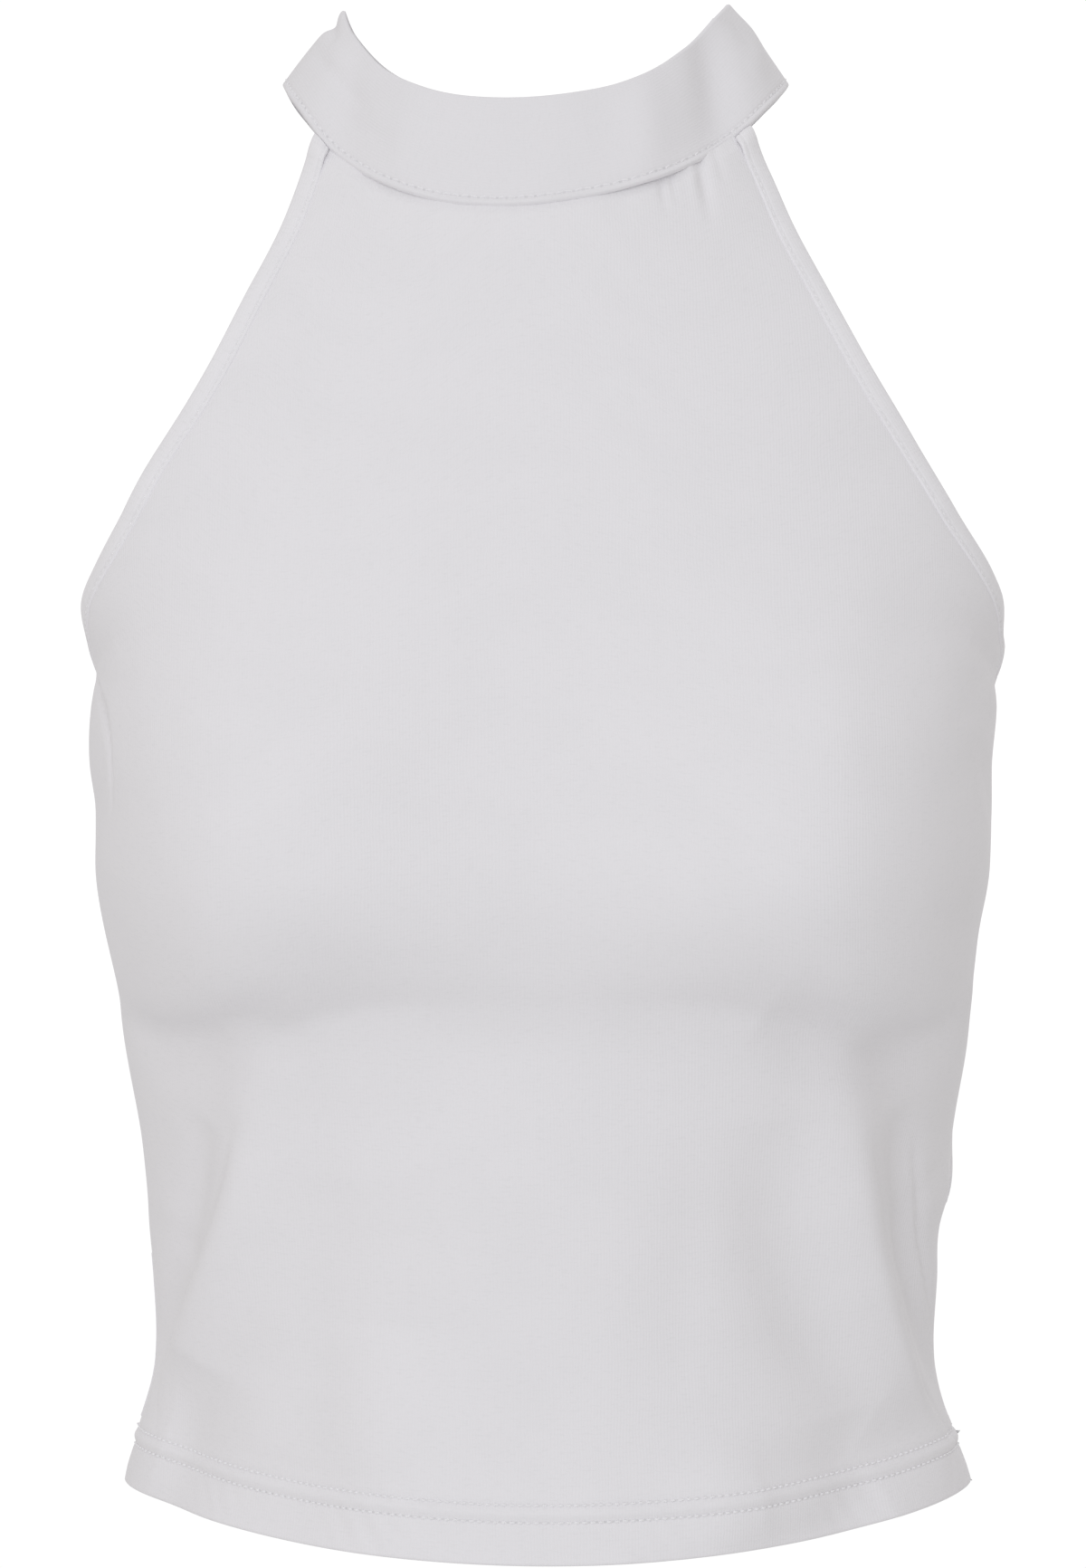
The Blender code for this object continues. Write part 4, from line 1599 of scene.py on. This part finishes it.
@dataclass
class TurtleneckTop:
    """The whole top: two panels, the neck band, two armhole bindings and the stitching."""

    front: Panel
    back: Panel
    band: NeckBand = field(default_factory=NeckBand)
    thread: ThreadFinish = field(default_factory=ThreadFinish)

    def build(self) -> list[bpy.types.Object]:
        """Make every piece, attach it to the root and hide the solids that the cloth pieces
        replace.

        Returns:
            The pieces.
        """
        hem = self.front.hem
        # The needle holes of the hem, the band and the bindings are darkened with painted shade.
        hem_rows = (
            NeedleRow(hem.lower_row, hem.pitch, dark=0.34),
            NeedleRow(hem.upper_row, hem.pitch, dark=0.2),
        )
        body = JerseyFinish("jersey_body", needle_rows=hem_rows)
        panels = [PanelBuild(panel, *panel.build(body)) for panel in (self.front, self.back)]
        band_rows = (NeedleRow(self.band.stitch_rise, self.band.pitch, dark=0.32),)
        band_painted_shade_finish = JerseyFinish(
            "jersey_band",
            # Painted shade: the band's colour is the body jersey's made darker, though it is the
            # same jersey, so that it reads darker than the body under the same light.
            colour=(0.82, 0.805, 0.83, 1.0),
            wales=Wales.ALONG,
            needle_rows=band_rows,
        )
        band_piece, band_grid = self.band.build(band_painted_shade_finish)
        bindings = [ArmholeBinding(side) for side in ArmSide]
        strip = JerseyFinish(
            "jersey_binding",
            # Painted light: the binding's colour is the body jersey's made paler, though it is the
            # same jersey, so that the strip reads brighter than the panels under the same light.
            colour=(0.865, 0.85, 0.875, 1.0),
            wales=Wales.ALONG,
            needle_rows=(NeedleRow(bindings[0].stitch_in, bindings[0].pitch, 0.4, 0.12),),
        )
        bound = [binding.build(panels[0], panels[1], strip) for binding in bindings]
        self._declare(panels, band_piece, bound)
        sewn = {
            "hem_stitches_front": panels[0].panel.hem_stitches(panels[0].grid),
            "hem_stitches_back": panels[1].panel.hem_stitches(panels[1].grid),
            "neck_stitches": [self.band.stitches(band_grid)],
        }
        for binding, built in zip(bindings, bound):
            sewn[f"armhole_stitches_{binding.side.name.lower()}"] = [binding.stitches(built)]
        thread = self.thread.material()
        stitches = [self._sew(name, parts, thread) for name, parts in sewn.items()]
        pieces = [build.piece for build in panels] + [band_piece] + [b.piece for b in bound]
        return pieces + stitches

    def _declare(
        self, panels: list[PanelBuild], band: bpy.types.Object, bound: list[BindingBuild]
    ) -> None:
        """Attach each piece to the root and hide the solid it replaces."""
        dressed = [(build.panel.name, build.piece, "body_jersey") for build in panels]
        dressed.append((self.band.name, band, "band_jersey"))
        dressed += [(built.solid, built.piece, "binding_jersey") for built in bound]
        for solid, piece, slot in dressed:
            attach(piece, "root")
            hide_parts(solid)

    @staticmethod
    def _sew(name: str, parts: list[StitchParts], thread: bpy.types.Material) -> bpy.types.Object:
        """One piece of all the stitches of a seam."""
        joined = StitchParts.joined(parts)
        piece = make_piece(name, joined.points, joined.faces, joined.cloth_map, thread)
        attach(piece, "root")
        LOG.info("%s: %d faces", name, len(joined.faces))
        return piece


@dataclass(frozen=True)
class SoftLight:
    """A large square studio light that faces a point on the top."""

    name: str
    place_m: tuple[float, float, float]
    aim_m: tuple[float, float, float]
    side_m: float
    watts: float

    def build(self) -> None:
        """Place the light."""
        lamp = bpy.data.lights.new(self.name, "AREA")
        lamp.shape = "SQUARE"
        lamp.size = self.side_m
        lamp.energy = self.watts
        item = bpy.data.objects.new(self.name, lamp)
        item.location = self.place_m
        aim = Vector(self.aim_m) - Vector(self.place_m)
        item.rotation_euler = aim.to_track_quat("-Z", "Y").to_euler()
        bpy.context.scene.collection.objects.link(item)


@dataclass
class Studio:
    """Plain pale studio: soft lights, an even bright sky, a pale floor and a white backdrop."""

    camera_m: tuple[float, float, float] = (0.00236, -1.7, -0.2274)
    framed_height_m: float = 0.51094
    sensor: float = 36.0
    floor_height_m: float = -0.75
    floor_half_m: float = 9.0
    floor_glow: float = 1.02
    backdrop_radius_m: float = 14.0
    backdrop_sides: int = 32
    backdrop_rings: int = 18
    backdrop_pole: float = 0.02
    backdrop_glow: float = 1.05
    sky_level: float = 0.955
    sky_right: float = -0.03
    sky_above: float = 0.07
    sky_sides: float = 0.5
    sky_poles: float = 0.22
    level_shares: tuple[float, float, float] = (0.986, 1.0, 1.022)
    dimming_shares: tuple[float, float, float] = (0.93, 1.0, 1.10)
    lights: tuple[SoftLight, ...] = (
        SoftLight("key_light", (-1.0, -2.1, 0.3), (0.0, 0.0, -0.2), 1.6, 6.0),
        SoftLight("back_light", (1.1, 2.2, 0.3), (0.0, 0.0, -0.25), 1.6, 6.0),
    )

    def build(self) -> None:
        """Make the camera, the lights, the sky, the floor and the backdrop."""
        self._camera()
        for light in self.lights:
            light.build()
        self._sky()
        self._floor()
        self._backdrop()
        bpy.context.scene.view_settings.view_transform = "Standard"

    def _camera(self) -> None:
        """Level camera in front; its lens frames the given height at the top's middle depth."""
        lens = bpy.data.cameras.new("camera")
        lens.sensor_width = self.sensor
        lens.lens = self.sensor * abs(self.camera_m[1]) / self.framed_height_m
        item = bpy.data.objects.new("camera", lens)
        item.location = self.camera_m
        item.rotation_euler = (math.pi / 2, 0.0, 0.0)
        bpy.context.scene.collection.objects.link(item)
        bpy.context.scene.camera = item

    def _sky(self) -> None:
        """Soft sky whose brightness depends on the direction.

        It is the level, plus a slope for each of x and z, minus the side's dimming times x squared
        and the dimming above and below times z squared. The dimming takes most from the blue.
        """
        graph = ShaderGraph(bpy.data.worlds.new("studio_sky"), "Background")
        place = Socket(graph, graph.node("ShaderNodeTexCoord", {}).outputs["Generated"])
        split = graph.node("ShaderNodeSeparateXYZ", {}, Vector=place)
        across, up = Socket(graph, split.outputs["X"]), Socket(graph, split.outputs["Z"])
        lit = across * self.sky_right + up * self.sky_above + self.sky_level
        dimming = across * across * self.sky_sides + up * up * self.sky_poles
        glow = graph.node("ShaderNodeCombineColor", {})
        for channel, level, share in zip(glow.inputs, self.level_shares, self.dimming_shares):
            graph.feed(channel, graph.maths("MAXIMUM", lit * level - dimming * share, 0.0))
        graph.feed(graph.shader.inputs["Color"], Socket(graph, glow.outputs[0]))
        bpy.context.scene.world = graph.owner

    @staticmethod
    def _seen_only(name: str, points: list[list[float]], faces: Faces, glow: float) -> None:
        """Add an evenly white stage object that the camera sees and that doesn't light the top."""
        graph = ShaderGraph.of_material(f"white_{name}")
        graph.fill(
            graph.shader,
            Base_Color=(0.0, 0.0, 0.0, 1.0),
            Roughness=1.0,
            Specular_IOR_Level=0.0,
            Emission_Color=(1.0, 1.0, 1.0, 1.0),
            Emission_Strength=glow,
        )
        mesh = bpy.data.meshes.new(name)
        mesh.from_pydata(points, [], faces)
        mesh.materials.append(graph.owner)
        item = bpy.data.objects.new(name, mesh)
        item.visible_diffuse = False
        item.visible_glossy = False
        item.visible_transmission = False
        item.visible_shadow = False
        bpy.context.scene.collection.objects.link(item)

    def _floor(self) -> None:
        """Plain pale floor well below the hem."""
        signs = ((-1, -1), (1, -1), (1, 1), (-1, 1))
        half, level = self.floor_half_m, self.floor_height_m
        corners = [[half * across, half * deep, level] for across, deep in signs]
        self._seen_only("floor", corners, [[0, 1, 2, 3]], self.floor_glow)

    def _backdrop(self) -> None:
        """White backdrop all round: a ball seen from inside, with a pinhole at either pole."""
        around = np.linspace(0, 2 * math.pi, self.backdrop_sides, endpoint=False)[None, :]
        pole = self.backdrop_pole
        polar = np.linspace(pole, math.pi - pole, self.backdrop_rings)[:, None]
        across, deep = np.sin(polar) * np.cos(around), np.sin(polar) * np.sin(around)
        ball = np.stack((across, deep, np.cos(polar) + 0 * around), axis=-1)
        points = (ball.reshape(-1, 3) * self.backdrop_radius_m).tolist()
        index = np.arange(across.size).reshape(across.shape)
        quads = grid_quads(index, wrap=True).tolist()
        self._seen_only("backdrop", points, quads, self.backdrop_glow)


def main() -> None:
    """Load the frame, build the top and the studio."""
    logging.basicConfig(level=logging.INFO, format="%(message)s")
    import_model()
    top = TurtleneckTop(
        front=Panel(
            name="front_panel",
            facing=Facing.FRONT,
            sections=FRONT_SECTIONS,
            folds=FRONT_FOLDS,
            creases=FRONT_CREASES,
            gathers=FRONT_GATHERS,
            flat=(0.40, 0.46),
            flat_area=0.13,
        ),
        back=Panel(
            name="back_panel",
            facing=Facing.BACK,
            sections=BACK_SECTIONS,
            folds=BACK_FOLDS,
            creases=BACK_CREASES,
            gathers=BACK_GATHERS,
            flat=(0.34, 0.45),
            flat_area=0.12,
        ),
    )
    pieces = top.build()
    Studio().build()
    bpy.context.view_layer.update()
    LOG.info("%d pieces", len(pieces))


if __name__ == "__main__":
    main()
